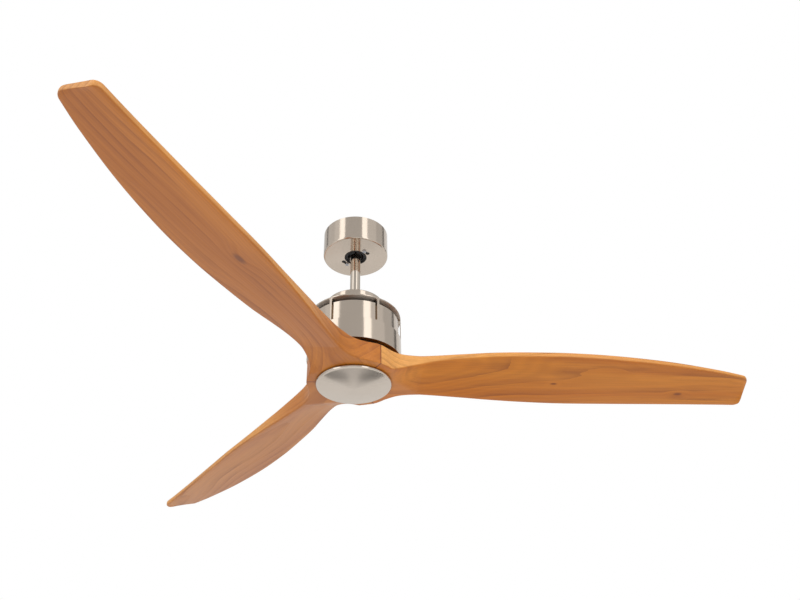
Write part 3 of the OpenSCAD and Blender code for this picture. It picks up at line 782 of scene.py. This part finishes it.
@dataclass
class Canopy(SubAssembly):
    """The drum that covers the ceiling plate, with its keyholes and its rubber ring."""

    body: Body = Body.CEILING
    wall: float = 1.2
    round: float = 3.0
    hole_r: float = 21.0
    keyhole_circle: float = 28.0
    keyhole_w: float = 5.0
    keyhole_r: float = 4.2
    keyhole_angle: float = 148.0
    keyhole_turn: float = 21.0
    ring_inner: float = 19.0
    ring_lip: float = 22.6
    ring_drop: float = 0.8
    ring_rise: float = 0.2

    def build(self) -> None:
        """Makes the drum and the ring."""
        radius, top, floor = extent("canopy")
        inside = radius - self.wall
        bm = spun([(radius, top), (radius, floor), (self.hole_r, floor), (self.hole_r, floor + self.wall),
                   (inside, floor + self.wall), (inside, top)], 240)
        ease_rings(bm, (self.round, 8, radius, floor), (0.4, 2, radius, top), (0.4, 2, inside, top),
                   (self.round - self.wall, 5, inside, floor + self.wall))
        bm = carve(bm, *self._keyholes(floor))
        self.piece("canopy_drum", bm, "brushed_nickel", NICKEL, "canopy")
        self._grommet(floor)

    def _keyholes(self, floor: float) -> list[Mesh]:
        """Makes the cutters of the two keyholes.

        Args:
            floor: Height of the drum's underside in mm.

        Returns:
            The wide ends, the narrow ends and the curved slots.
        """
        low, high = floor - 1.0, floor + self.wall + 1.0
        cutters = []
        for angle in (self.keyhole_angle, self.keyhole_angle + 180.0):
            wide, narrow = circle_points(self.keyhole_circle, (angle, angle - self.keyhole_turn))
            cutters += [add_peg(bmesh.new(), self.keyhole_r, high, low, wide, 64),
                        add_peg(bmesh.new(), self.keyhole_w / 2, high, low, narrow, 40),
                        self._slot(angle - self.keyhole_turn, low, high)]
        return cutters

    def _slot(self, start: float, low: float, high: float) -> Mesh:
        """Sweeps the slot that joins a keyhole's two ends.

        Args:
            start: Angle of its first end in degrees.
            low: Height of its floor in mm.
            high: Height of its top in mm.

        Returns:
            The cutter.
        """
        bm = bmesh.new()
        near, far = self.keyhole_circle - self.keyhole_w / 2, self.keyhole_circle + self.keyhole_w / 2
        corners = [bm.verts.new((r * MM, 0.0, z * MM))
                   for r, z in ((near, low), (far, low), (far, high), (near, high))]
        bm.faces.new(corners)
        bmesh.ops.rotate(bm, verts=corners, cent=(0, 0, 0),
                         matrix=Matrix.Rotation(radians(start), 3, "Z"))
        bmesh.ops.spin(bm, geom=list(bm.verts) + list(bm.edges) + list(bm.faces), cent=(0, 0, 0),
                       axis=(0, 0, 1), dvec=(0, 0, 0), angle=radians(self.keyhole_turn),
                       steps=12, use_merge=False, use_duplicate=False)
        bmesh.ops.recalc_face_normals(bm, faces=list(bm.faces))
        return bm

    def _grommet(self, floor: float) -> None:
        """Makes the rubber ring in the drum's hole.

        Args:
            floor: Height of the drum's underside in mm.
        """
        inner, lip = self.ring_inner, self.ring_lip
        foot, top, crown = floor - self.ring_drop, floor + self.wall, floor + self.wall + self.ring_rise
        bm = spun([(inner, foot), (lip, foot), (lip, floor), (self.hole_r, floor),
                   (self.hole_r, top), (lip, top), (lip, crown), (inner, crown)], 144)
        ease_rings(bm, (0.6, 4, inner, foot), (0.6, 4, lip, foot))
        self.piece("canopy_rubber_ring", bm, "black_rubber", RUBBER, "canopy_grommet", sharp=40.0)


@dataclass
class Downrod(SubAssembly):
    """The tube that the motor hangs from."""

    body: Body = Body.STEM
    wall: float = 2.5
    ball_pin_r: float = 2.58
    coupler_pin_r: float = 3.08

    def build(self) -> None:
        """Makes the tube with its two cross holes."""
        radius, top, floor = extent("downrod")
        inside = radius - self.wall
        bm = spun([(radius, top), (radius, floor), (inside, floor), (inside, top)], 128)
        ease_rings(bm, *[(0.5, 3, r, z) for r in (radius, inside) for z in (top, floor)])
        pins = [self._cross_peg(size, node) for size, node in
                ((self.ball_pin_r, "ball_cross_pin"), (self.coupler_pin_r, "coupler_pin"))]
        self.piece("downrod_tube", carve(bm, *pins), "brushed_nickel", ROD_NICKEL, "downrod", sharp=40.0)

    def _cross_peg(self, radius: float, node: str) -> Mesh:
        """Makes the cutter of a pin's hole.

        Args:
            radius: The hole's radius in mm.
            node: The pin's CAD node.

        Returns:
            The cutter, along X.
        """
        low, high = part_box(node)
        turn = Matrix.Rotation(radians(90.0), 4, "Y")
        bm = bmesh.new()
        bmesh.ops.create_cone(bm, cap_ends=True, segments=48, radius1=radius * MM, radius2=radius * MM,
                              depth=0.06, matrix=Matrix.Translation((0, 0, (low.z + high.z) / 2)) @ turn)
        return bm


@dataclass
class Housing(SubAssembly):
    """The motor's housing: coupling cover, top plate, windowed band and inner sleeve."""

    body: Body = Body.STEM
    wall: float = 1.5
    sleeve_wall: float = 1.2
    cover_round: float = 3.0
    window_drop: float = 51.3
    posts: int = 6
    post_w: float = 4.6
    post_steps: int = 3
    post_angle: float = -2.0
    flange_w: float = 9.0
    tab_t: float = 2.0
    lid_bore_r: float = 15.48
    screw_hole_r: float = 2.08
    lid_screw_circle: float = 27.0
    rim_screw_inset: float = 6.0
    rod_gap: float = 2.5
    burr: float = 0.35

    @property
    def post_span(self) -> float:
        """Gives the angle that a post covers, in degrees."""
        return degrees(self.post_w / extent("motor_housing")[0])

    def build(self) -> None:
        """Makes the four pieces."""
        self._cover()
        self._lid()
        self._band()
        self._sleeve()

    def _cover(self) -> None:
        """Makes the drum over the coupling."""
        radius, top, floor = extent("coupling_cover")
        hole = extent("downrod")[0] + self.rod_gap
        inside = radius - self.wall
        bm = spun([(radius, floor), (radius, top), (hole, top), (hole, top - self.wall),
                   (inside, top - self.wall), (inside, floor)], 240)
        ease_rings(bm, (self.cover_round, 7, radius, top), (0.3, 2, radius, floor),
                   (self.cover_round - self.wall, 4, inside, top - self.wall))
        self.piece("coupling_drum", bm, "brushed_nickel", NICKEL, "coupling_cover")

    def _lid(self) -> None:
        """Makes the top plate with its bore and screw holes."""
        radius, top, floor = extent("housing_top_plate")
        bm = spun([(radius, top), (radius, floor), (self.lid_bore_r, floor), (self.lid_bore_r, top)], 360)
        ease_rings(bm, (0.6, 4, radius, top), (0.6, 4, radius, floor))
        holes = bmesh.new()
        places = circle_points(self.lid_screw_circle, (45, 135, 225, 315))
        places += circle_points(radius - self.rim_screw_inset, self._post_angles())
        for place in places:
            add_peg(holes, self.screw_hole_r, top + 1.0, floor - 1.0, place)
        self.piece("housing_lid", carve(bm, holes), "brushed_nickel", LID_NICKEL, "housing_top_plate")

    def _post_angles(self) -> list[float]:
        """Lists the angles of the posts' middle lines, in degrees."""
        return [self.post_angle + k * 360.0 / self.posts for k in range(self.posts)]

    def _band(self) -> None:
        """Makes the band, its posts, its inner flange and the tabs that carry the top plate."""
        radius, top, floor = extent("motor_housing")
        sill = extent("housing_top_plate")[1] - self.window_drop
        bm = bmesh.new()
        bmesh.ops.create_circle(bm, cap_ends=False, radius=1.0, segments=360)
        for corner in bm.verts:
            step = round(degrees(atan2(corner.co.y, corner.co.x))) % 360
            angle = radians(self._upright(step))
            corner.co = Vector((radius * cos(angle), radius * sin(angle), floor)) * MM
        draw_up(bm, bm.edges, sill * MM)
        draw_up(bm, [edge for edge in bm.edges if self._is_post_foot(edge, sill)], top * MM)
        bmesh.ops.recalc_face_normals(bm, faces=list(bm.faces))
        bm.faces.ensure_lookup_table()
        first = bm.faces[0]
        if first.normal.dot(first.calc_center_median().xy.to_3d()) < 0.0:
            bmesh.ops.reverse_faces(bm, faces=list(bm.faces))
        bmesh.ops.solidify(bm, geom=list(bm.faces), thickness=self.wall * MM)
        ease(bm, self.burr, 2, is_sharp)
        skin, flange_in, flange_top = radius - self.wall / 2, radius - self.flange_w, floor + self.wall
        flange = spun([(skin, floor), (skin, flange_top), (flange_in, flange_top), (flange_in, floor)], 240)
        ease(flange, self.burr, 2, is_sharp)
        tabs = bmesh.new()
        reach = self.flange_w + 0.5 - self.wall / 2
        middle = Matrix.Translation(Vector((skin - reach / 2 - 0.1, 0.0, top - self.tab_t / 2)) * MM)
        size = Matrix.Diagonal((reach * MM, 2 * self.post_w * MM, self.tab_t * MM, 1.0))
        for angle in self._post_angles():
            turn = Matrix.Rotation(radians(angle), 4, "Z")
            bmesh.ops.create_cube(tabs, size=1.0, matrix=turn @ middle @ size)
        ease(tabs, 0.3, 2, is_sharp)
        self.piece("housing_band", merge(bm, flange, tabs), "brushed_nickel", NICKEL, "motor_housing")

    def _upright(self, step: int) -> float:
        """Places one of the band's 360 upright lines. A few cover a post and the rest a window.

        Args:
            step: The line's number.

        Returns:
            Its angle in degrees.
        """
        share = 360 // self.posts  # both lines and degrees from one post to the next
        block, part = divmod(step, share)
        window = share - self.post_span
        few = self.post_steps
        inside = self.post_span * min(part, few) / few + window * max(part - few, 0) / (share - few)
        return self.post_angle - self.post_span / 2 + block * share + inside

    def _is_post_foot(self, edge: Any, sill: float) -> bool:
        """Tells whether an edge lies on the sill under a post.

        Args:
            edge: The edge.
            sill: Height of the sill in mm.

        Returns:
            True if it does.
        """
        if any(abs(v.co.z - sill * MM) > 1e-6 for v in edge.verts):
            return False
        middle = (edge.verts[0].co + edge.verts[1].co) / 2
        angle = degrees(atan2(middle.y, middle.x)) - self.post_angle
        off = (angle + 180.0 / self.posts) % (360.0 / self.posts) - 180.0 / self.posts
        return abs(off) < self.post_span / 2

    def _sleeve(self) -> None:
        """Makes the sleeve behind the windows."""
        radius, top, floor = extent("inner_sleeve")
        inside = radius - self.sleeve_wall
        bm = spun([(radius, top), (radius, floor), (inside, floor), (inside, top)], 240)
        ease_rings(bm, (self.burr, 2, radius, top), (self.burr, 2, inside, top))
        self.piece("motor_sleeve", bm, "brushed_nickel", NICKEL, "inner_sleeve")


@dataclass
class Cap(SubAssembly):
    """The shallow dome under the hub."""

    body: Body = Body.ROTOR
    wall: float = 1.2
    rim: float = 4.4
    dome: float = 7.4
    skirt_r: float = 56.0
    skirt_dip: float = 2.0
    rim_round: float = 3.7
    arc_steps: int = 13

    def build(self) -> None:
        """Makes the dome, its rolled rim and the skirt inside it."""
        radius, skirt_top, lowest = extent("cap")
        rim_top = lowest + self.dome + self.rim
        bm = spun(self._arc(radius, lowest, 0.0) + [(radius, rim_top), (radius - self.wall, rim_top)]
                  + self._arc(radius, lowest, self.wall)[::-1], 240)
        ease_rings(bm, (self.rim_round, 8, radius, lowest + self.dome), (0.4, 2, radius, rim_top))
        outer, inner = self.skirt_r, self.skirt_r - self.wall
        foot = rim_top - self.rim - self.skirt_dip
        skirt = spun([(outer, foot), (outer, skirt_top), (inner, skirt_top), (inner, foot)], 160)
        ease(skirt, 0.3, 2, is_sharp)
        self.piece("cap_dome", merge(bm, skirt), "brushed_nickel", SPUN_NICKEL, "cap")

    def _arc(self, radius: float, lowest: float, inset: float) -> list[Point]:
        """Follows the dome's curve from the axis to the rim.

        Args:
            radius: Radius of the rim in mm.
            lowest: Height of the dome's lowest point in mm.
            inset: Distance inside the outer face in mm.

        Returns:
            The points as radius and height.
        """
        ball = (radius * radius + self.dome * self.dome) / (2 * self.dome)
        reach = asin((radius - inset) / (ball - inset))
        angles = [reach * k / self.arc_steps for k in range(self.arc_steps + 1)]
        return [((ball - inset) * sin(a), lowest + ball - (ball - inset) * cos(a)) for a in angles]


@dataclass
class Blades(SubAssembly):
    """Three boards carved into blades, whose roots make the hub."""

    body: Body = Body.ROTOR
    chord: float = 130.0
    edge: float = 11.0
    tip_thinning: float = 4.0
    tip_droop: float = 8.0
    tip_lift: float = 5.0
    tip_round: float = 12.0
    edge_round: float = 3.0
    end_round: float = 1.4
    crease_soft: float = 7.0
    neck_half: float = 40.0
    neck_out: float = 40.0
    hub_r: float = 87.5
    hub_h: float = 40.0
    lead_leave: float = 42.0
    trail_leave: float = 45.0
    bore_r: float = 32.0
    recess_r: float = 41.0
    pocket_r: float = 60.0
    pocket_depth: float = 12.0
    screw_circle: float = 46.0
    screw_hole_r: float = 3.08
    screw_angles: tuple[float, ...] = (-38.0, 2.0, 40.0)
    root_x: float = 18.0
    wide_x: float = 190.0
    recess_depth: float = 4.0
    twist_start: float = 27.0
    rise_lead: float = 20.0
    rise_run: float = 157.0
    fall_run: float = 285.0
    crease_slant: float = 1.15
    root_round: float = 0.4
    root_ease: float = 12.0
    wash_from: float = 0.3
    thin_from: float = 0.6
    across: int = 34
    fillet_shape: tuple[Point, ...] = ((0.88, 0.5), (1.03, 0.22), (1.2, 0.07))
    lead_shape: tuple[Point, ...] = ((0.17, 0.78), (0.25, 0.9), (0.35, 0.97), (0.463, 1.0), (0.6, 0.93),
                                     (0.76, 0.72), (0.91, 0.385), (1.0, 0.115))
    trail_shape: tuple[Point, ...] = ((0.17, 0.73), (0.25, 0.83), (0.35, 0.925), (0.463, 0.985),
                                      (0.6, 0.98), (0.76, 0.965), (0.91, 0.965), (1.0, 0.98))

    def __post_init__(self) -> None:
        """Takes the blade's reach and height from the CAD frame."""
        low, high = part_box("blade_1")
        self.tip_r, self.top, self.floor = high.x / MM, high.z / MM, low.z / MM
        self.lead_points = self._outline(self.lead_shape, self.lead_leave)
        self.trail_points = self._outline(self.trail_shape, self.trail_leave)

    def build(self) -> None:
        """Makes one blade and turns it to its three places."""
        first = self._carved()
        for k, board in enumerate(BOARDS):
            bm = first.copy()
            bmesh.ops.rotate(bm, verts=list(bm.verts), cent=(0, 0, 0),
                             matrix=Matrix.Rotation(radians(SECTOR * k), 3, "Z"))
            self.piece(f"timber_blade_{k + 1}", bm, "timber", board, f"blade_{k + 1}", sharp=38.0)
        first.free()

    def _carved(self) -> Mesh:
        """Shapes the blade along +X and cuts its bore, pocket and screw holes.

        Returns:
            The blade.
        """
        stations = self._stations()
        loops = [self._section(x) for x in stations]
        rows, around = len(stations), len(loops[0]) + 1
        bm = bmesh.new()
        bmesh.ops.create_grid(bm, x_segments=rows - 1, y_segments=around - 1, size=0.5)
        for corner in bm.verts:
            i = round((corner.co.x + 0.5) * (rows - 1))
            j = round((corner.co.y + 0.5) * (around - 1)) % (around - 1)
            corner.co = Vector((stations[i], *loops[i][j])) * MM
        bmesh.ops.remove_doubles(bm, verts=list(bm.verts), dist=1e-7)
        bmesh.ops.holes_fill(bm, edges=[e for e in bm.edges if e.is_boundary], sides=0)
        bmesh.ops.recalc_face_normals(bm, faces=list(bm.faces))
        pocket_top = self.floor + self.pocket_depth
        recess, above, below = self.top - self.recess_depth, self.top + 5.0, self.floor - 5.0
        core = spun([(0.0, above), (self.recess_r, above), (self.recess_r, recess), (self.bore_r, recess),
                     (self.bore_r, pocket_top), (self.pocket_r, pocket_top), (self.pocket_r, below),
                     (0.0, below)], 192)
        holes = bmesh.new()
        for place in circle_points(self.screw_circle, self.screw_angles):
            add_peg(holes, self.screw_hole_r, self.top + 3.0, pocket_top - 3.0, place)
        return self._mark_walls(carve(bm, core, holes))

    @staticmethod
    def _mark_walls(bm: Mesh) -> Mesh:
        """Notes at each corner how upright the surface is, from 0 to 1, for the timber's painted edge
        highlight and its coat.

        Args:
            bm: The blade.

        Returns:
            The same mesh.
        """
        bm.normal_update()
        layer = bm.verts.layers.float.new(WALL)
        for corner in bm.verts:
            corner[layer] = 1.0 - abs(corner.normal.z)
        return bm

    def _stations(self) -> list[float]:
        """Lists the places along the blade where its section is drawn.

        Returns:
            The places in mm from the axis, in order.
        """
        trail_start, lead_start, lead_end = (self.hub_r * cos(radians(angle))
                                             for angle in (SEAM_TRAIL, SEAM_LEAD, self.lead_leave))
        neck = self.hub_r + self.neck_out
        runs = ((self.root_x, trail_start, 3), (trail_start, lead_start, 3), (lead_start, lead_end, 9),
                (lead_end, neck, 30), (neck, self.wide_x, 22),
                (self.wide_x, self.tip_r - self.tip_round, 56))
        places = [a + (b - a) * k / n for a, b, n in runs for k in range(n)]
        places += [self.tip_r - self.tip_round * (1 - sin(radians(9 * k))) for k in range(8)]
        places += [self.tip_r - self.end_round * (1 - sin(radians(22.5 * k))) for k in range(5)]
        return sorted(places)

    def _outline(self, shape: Sequence[Point], leave: float) -> list[Point]:
        """Joins a long edge's own points to the fillet that leaves the hub.

        Args:
            shape: Share of the length past the hub, and share of half the chord.
            leave: Angle at which the edge leaves the hub, in degrees.

        Returns:
            The points in mm.
        """
        high = self.hub_r * sin(radians(leave))
        fillet = [(self.hub_r * cos(radians(leave)), high)]
        for out, share in self.fillet_shape:
            fillet.append((self.hub_r * out, self.neck_half + (high - self.neck_half) * share))
        fillet.append((self.hub_r + self.neck_out, self.neck_half))
        return fillet + [(self._span(u), v * self.chord / 2) for u, v in shape]

    def _span(self, share: float) -> float:
        """Turns a share of the length past the hub into mm from the axis."""
        return self.hub_r + share * (self.tip_r - self.hub_r)

    def _past(self, x: float, share: float) -> float:
        """Tells how far a place in mm is from a share of the length to the tip, from 0 to 1."""
        return clamp((x - self._span(share)) / (self.tip_r - self._span(share)))

    def _edge(self, x: float, points: Sequence[Point], seam: float, leave: float) -> float:
        """Finds how far one side of the blade is from its middle line.

        Args:
            x: Distance from the axis in mm.
            points: The side's outline.
            seam: Angle of the seam in degrees.
            leave: Angle at which the side leaves the hub, in degrees.

        Returns:
            The distance in mm.
        """
        if x <= self.hub_r * cos(radians(seam)):
            return x * tan(radians(seam))
        if x <= self.hub_r * cos(radians(leave)):
            return sqrt(self.hub_r ** 2 - x * x)
        last = len(points) - 2
        i = max(k for k in range(last + 1) if k == 0 or points[k][0] <= x)
        width = points[i + 1][0] - points[i][0]
        t = (x - points[i][0]) / width
        a, b = points[i][1], points[i + 1][1]
        da, db = self._slope(points, i) * width, self._slope(points, i + 1) * width
        return a + t * (da + t * (3 * (b - a) - 2 * da - db + t * (da + db - 2 * (b - a))))

    @staticmethod
    def _slope(points: Sequence[Point], i: int) -> float:
        """Finds the slope of a smooth curve at one of its points."""
        (x0, y0), (x1, y1) = points[max(0, i - 1)], points[min(len(points) - 1, i + 1)]
        return (y1 - y0) / (x1 - x0)

    def _section(self, x: float) -> list[Point]:
        """Draws the blade's section.

        Args:
            x: Distance from the axis in mm.

        Returns:
            A closed loop of points across and up, in mm.
        """
        off = max(0.0, x - self.tip_r + self.tip_round)
        corner = self.tip_round - sqrt(max(0.0, self.tip_round ** 2 - off * off))
        past = max(0.0, x - self.tip_r + self.end_round)
        end = self.end_round - sqrt(max(0.0, self.end_round ** 2 - past * past))
        a = corner - self._edge(x, self.lead_points, SEAM_LEAD, self.lead_leave)
        b = self._edge(x, self.trail_points, SEAM_TRAIL, self.trail_leave) - corner
        grow = clamp((x - self.hub_r * cos(radians(SEAM_LEAD))) / self.root_ease)
        r = self.root_round + (self.edge_round - self.root_round) * grow
        wash = self._past(x, self.wash_from) ** 1.5
        body, twist = self.hub_h - self.edge, x - self.hub_r - self.twist_start
        rise = body * (1 - (1 - clamp((x - self.hub_r + self.rise_lead) / self.rise_run)) ** 3)
        fall = body * sin(radians(90 * clamp(twist / self.fall_run)))
        thin = self.tip_thinning * self._past(x, self.thin_from)
        lead_top = self.top - self.tip_droop * wash
        lead_floor = lead_top - self.hub_h + rise + thin
        trail_floor = self.floor + self.tip_lift * wash
        trail_top = trail_floor + self.hub_h - fall
        r = min(r, (lead_top - lead_floor) / 2 - end - 0.2)
        inner = r + 2.0
        top_crease = max(a + inner, min(b - inner, b - self.crease_slant * twist))
        low_crease = max(a + inner, min(b - inner, x - self.hub_r - 3.0))

        def top(y: float) -> float:
            """Finds the height of the upper face."""
            share = soft_ramp(y - top_crease, min(self.crease_soft, b - top_crease)) / (b - top_crease)
            return lead_top + (trail_top - lead_top) * share - end

        def under(y: float) -> float:
            """Finds the height of the lower face."""
            share = soft_ramp(low_crease - y, min(self.crease_soft, low_crease - a)) / (low_crease - a)
            return trail_floor + (lead_floor - trail_floor) * share + end

        turns = [radians(22.5 * k) for k in range(5)]
        level = [a + r + (b - a - 2 * r) * k / self.across for k in range(1, self.across)]
        lead_curve = [(a + r - r * cos(t), r - r * sin(t)) for t in turns]
        trail_curve = [(b - r + r * sin(t), r - r * cos(t)) for t in turns]
        upper = ([(y, top(y) - drop) for y, drop in lead_curve] + [(y, top(y)) for y in level]
                 + [(y, top(y) - drop) for y, drop in trail_curve])
        lower = ([(y, under(y) + drop) for y, drop in trail_curve[::-1]]
                 + [(y, under(y)) for y in level[::-1]]
                 + [(y, under(y) + drop) for y, drop in lead_curve[::-1]])
        return upper + lower


def clamp(share: float) -> float:
    """Keeps a share between 0 and 1."""
    return max(0.0, min(1.0, share))


def soft_ramp(distance: float, width: float) -> float:
    """Follows a ramp whose foot is rounded.

    Args:
        distance: Distance past the foot.
        width: Half width of the rounding.

    Returns:
        0 before the foot and the distance well past it.
    """
    if distance <= -width:
        return 0.0
    return distance if distance >= width else (distance + width) ** 2 / (4 * width)


def dress_nodes() -> None:
    """Gives every CAD node the finish of its material slot."""
    for part in frame["record"]["subparts"]:
        node = frame["nodes"][part["node"]]
        node.data.materials.clear()
        node.data.materials.append(SLOT_FINISH[part["material_slot"]].make())
        LOG.info("%s: %s", part["node"], part["material_slot"])


@dataclass(frozen=True)
class Card:
    """A curved card round the fan, with angles in degrees from the camera's side."""

    name: str
    start: float
    end: float
    glow: float
    raised: bool = False


@dataclass
class Studio:
    """White surroundings, a pale floor, soft lamps, cards and mats that show in gloss, and the camera."""

    floor_z: float = -2.4
    floor_r: float = 7.0
    lamp_distance: float = 3.2
    fill: float = 0.92
    card_distance: float = 2.9
    card_top: float = 5.6
    card_split: float = -0.5
    cards: tuple[Card, ...] = (
        Card("back_left", -180.0, -128.0, 0.66, True), Card("flag_left", -128.0, -120.0, 0.12, True),
        Card("side_left", -120.0, -82.0, 0.7), Card("shoulder_left", -82.0, -60.0, 0.84),
        Card("strip_left", -60.0, -40.0, 1.8), Card("middle", -40.0, 22.0, 0.6),
        Card("strip_right", 22.0, 41.0, 1.8), Card("shoulder_right", 41.0, 78.0, 0.79),
        Card("side_right", 78.0, 113.0, 0.62, True), Card("flag_right", 113.0, 123.0, 0.12, True),
        Card("back_right", 123.0, 180.0, 0.85, True))
    facing: float = 268.6
    aim: Vector = Vector((0.0, 0.0, -0.22))
    camera_place: tuple[float, float, float] = (-0.0346, -1.3982, -1.1454)
    camera_yaw: float = 5.08
    camera_pitch: float = 35.09
    camera_roll: float = -1.25
    camera_lens: float = 38.72

    def build(self) -> None:
        """Makes the surroundings, the lamps and the camera."""
        self._world()
        self._floor()
        self._lamp("lamp_left", -49.0, 40.0, (0.75, 2.8), 1.9)
        self._lamp("lamp_right", 30.0, 40.0, (0.75, 2.8), 1.9)
        self._lamp("key", -8.0, 30.0, (2.6, 1.8), 2.2)
        for card in self.cards:
            self._card(card)
        self._card(Card("low_back", 113.0, 240.0, 0.9), low=True)
        self._mat("mat_near", (0.05, 1.75), (0.75, 0.75), 0.66, 0.04)
        self._mat("mat_left", (-0.42, 2.0), (0.36, 0.36), 0.2, 0.05)
        self._mat("mat_right", (0.5, 2.0), (0.36, 0.36), 0.2, 0.05)
        self._mat("mat_beside", (1.25, 0.95), (1.0, 0.5), 0.15, 0.06)
        self._camera()

    def _world(self) -> None:
        """Shows white to the camera and in gloss, and lights the object evenly."""
        world = bpy.data.worlds.new("white_surroundings")
        world.use_nodes = True
        bpy.context.scene.world = world
        sheet = NodeSheet(world.node_tree)
        path = sheet.node("ShaderNodeLightPath")
        seen = Value(sheet, path.outputs["Is Camera Ray"])
        seen = seen.most(Value(sheet, path.outputs["Is Glossy Ray"]))
        seen = seen.most(Value(sheet, path.outputs["Is Transmission Ray"]))
        colour = sheet.tint(seen, (self.fill,) * 3, (1.0, 1.0, 1.0))
        glow = sheet.node("ShaderNodeBackground", {}, {"Color": colour, "Strength": 1.0})
        sheet.node("ShaderNodeOutputWorld", {}, {"Surface": glow.outputs[0]})

    def _floor(self) -> None:
        """Lays the pale floor."""
        bm = bmesh.new()
        place = Matrix.Translation((0.0, 0.0, self.floor_z))
        bmesh.ops.create_circle(bm, cap_ends=True, radius=self.floor_r, segments=64, matrix=place)
        floor = add_object("studio_floor", bm)
        floor.data.materials.append(
            Grained("pale_floor", (0.86, 0.86, 0.86), (0.84, 0.84, 0.84), 4.0, 0.0, 0.9).make())

    def _toward(self, azimuth: float, elevation: float) -> Vector:
        """Points away from the fan, from angles measured at the camera's side in degrees."""
        a, e = radians(self.facing + azimuth), radians(elevation)
        return Vector((cos(a) * cos(e), sin(a) * cos(e), sin(e)))

    def _lamp(self, name: str, azimuth: float, elevation: float, size: Point, glow: float) -> None:
        """Hangs a soft lamp that looks at the fan and does not show in gloss.

        Args:
            name: Its name.
            azimuth: Its angle round the fan from the camera's side, in degrees.
            elevation: Its angle above the fan, in degrees.
            size: Its width and height in m.
            glow: How bright its face is, where 1 is white.
        """
        light = bpy.data.lights.new(name, "AREA")
        light.shape, light.size, light.size_y = "RECTANGLE", *size
        light.energy = glow * pi * size[0] * size[1]
        lamp = bpy.data.objects.new(name, light)
        bpy.context.scene.collection.objects.link(lamp)
        away = self._toward(azimuth, elevation)
        lamp.location = self.aim + away * self.lamp_distance
        lamp.rotation_euler = away.to_track_quat("Z", "Y").to_euler()
        lamp.visible_camera = False
        lamp.visible_glossy = False

    def _card(self, card: Card, low: bool = False) -> None:
        """Stands a curved card that shows only in gloss.

        Args:
            card: The card.
            low: Whether it ends below the raised ones.
        """
        foot = self.card_split if card.raised else self.floor_z
        bm = bmesh.new()
        corner = bm.verts.new(self._toward(card.start, 0.0) * self.card_distance + Vector((0, 0, foot)))
        bmesh.ops.spin(bm, geom=[corner], cent=(0, 0, 0), axis=(0, 0, 1), dvec=(0, 0, 0),
                       angle=radians(card.end - card.start), steps=24, use_merge=False,
                       use_duplicate=False)
        draw_up(bm, bm.edges, self.card_split if low else self.card_top)
        self._show_in_gloss(add_object(card.name, bm), card.glow)

    def _mat(self, name: str, middle: Point, reach: Point, glow: float, above: float) -> None:
        """Lays an oval grey mat that shows only in gloss.

        Args:
            name: Its name.
            middle: Its place along X and Y in m.
            reach: Half its size along X and Y in m.
            glow: How bright it is, where 1 is white.
            above: Its height above the floor in m.
        """
        bm = bmesh.new()
        place = Matrix.Translation((*middle, self.floor_z + above)) @ Matrix.Diagonal((*reach, 1.0, 1.0))
        bmesh.ops.create_circle(bm, cap_ends=True, radius=1.0, segments=48, matrix=place)
        self._show_in_gloss(add_object(name, bm), glow)

    def _show_in_gloss(self, card: bpy.types.Object, glow: float) -> None:
        """Makes a card glow evenly and hides it from all but glossy rays.

        Args:
            card: The card.
            glow: How bright it is, where 1 is white.
        """
        material = bpy.data.materials.new(card.name)
        material.use_nodes = True
        sheet = NodeSheet(material.node_tree)
        shine = sheet.node("ShaderNodeEmission", {}, {"Color": (glow,) * 3, "Strength": 1.0})
        sheet.node("ShaderNodeOutputMaterial", {}, {"Surface": shine.outputs[0]})
        card.data.materials.append(material)
        card.visible_camera = card.visible_diffuse = card.visible_shadow = False
        card.visible_transmission = False

    def _camera(self) -> None:
        """Stands the camera below and in front of the fan, looking up."""
        yaw, pitch, roll = radians(self.camera_yaw), radians(self.camera_pitch), radians(self.camera_roll)
        ahead = Vector((sin(yaw) * cos(pitch), cos(yaw) * cos(pitch), sin(pitch)))
        level = Vector((cos(yaw), -sin(yaw), 0.0))
        above = level.cross(ahead)
        right = level * cos(roll) + above * sin(roll)
        up = above * cos(roll) - level * sin(roll)
        data = bpy.data.cameras.new("camera")
        data.sensor_width, data.lens = 36.0, self.camera_lens
        camera = bpy.data.objects.new("camera", data)
        bpy.context.scene.collection.objects.link(camera)
        turn = Matrix((right, up, -ahead)).transposed().to_4x4()
        camera.matrix_world = Matrix.Translation(self.camera_place) @ turn
        bpy.context.scene.camera = camera


def main() -> None:
    """Builds the studio, the pieces and the finishes."""
    logging.basicConfig(level=logging.INFO, format="%(name)s: %(message)s")
    bpy.context.scene.view_settings.view_transform = "Standard"
    Studio().build()
    dress_nodes()
    for part in (Canopy(), Downrod(), Housing(), Blades(), Cap()):
        part.build()
        LOG.info("%s is built", type(part).__name__)


if __name__ == "__main__":
    main()
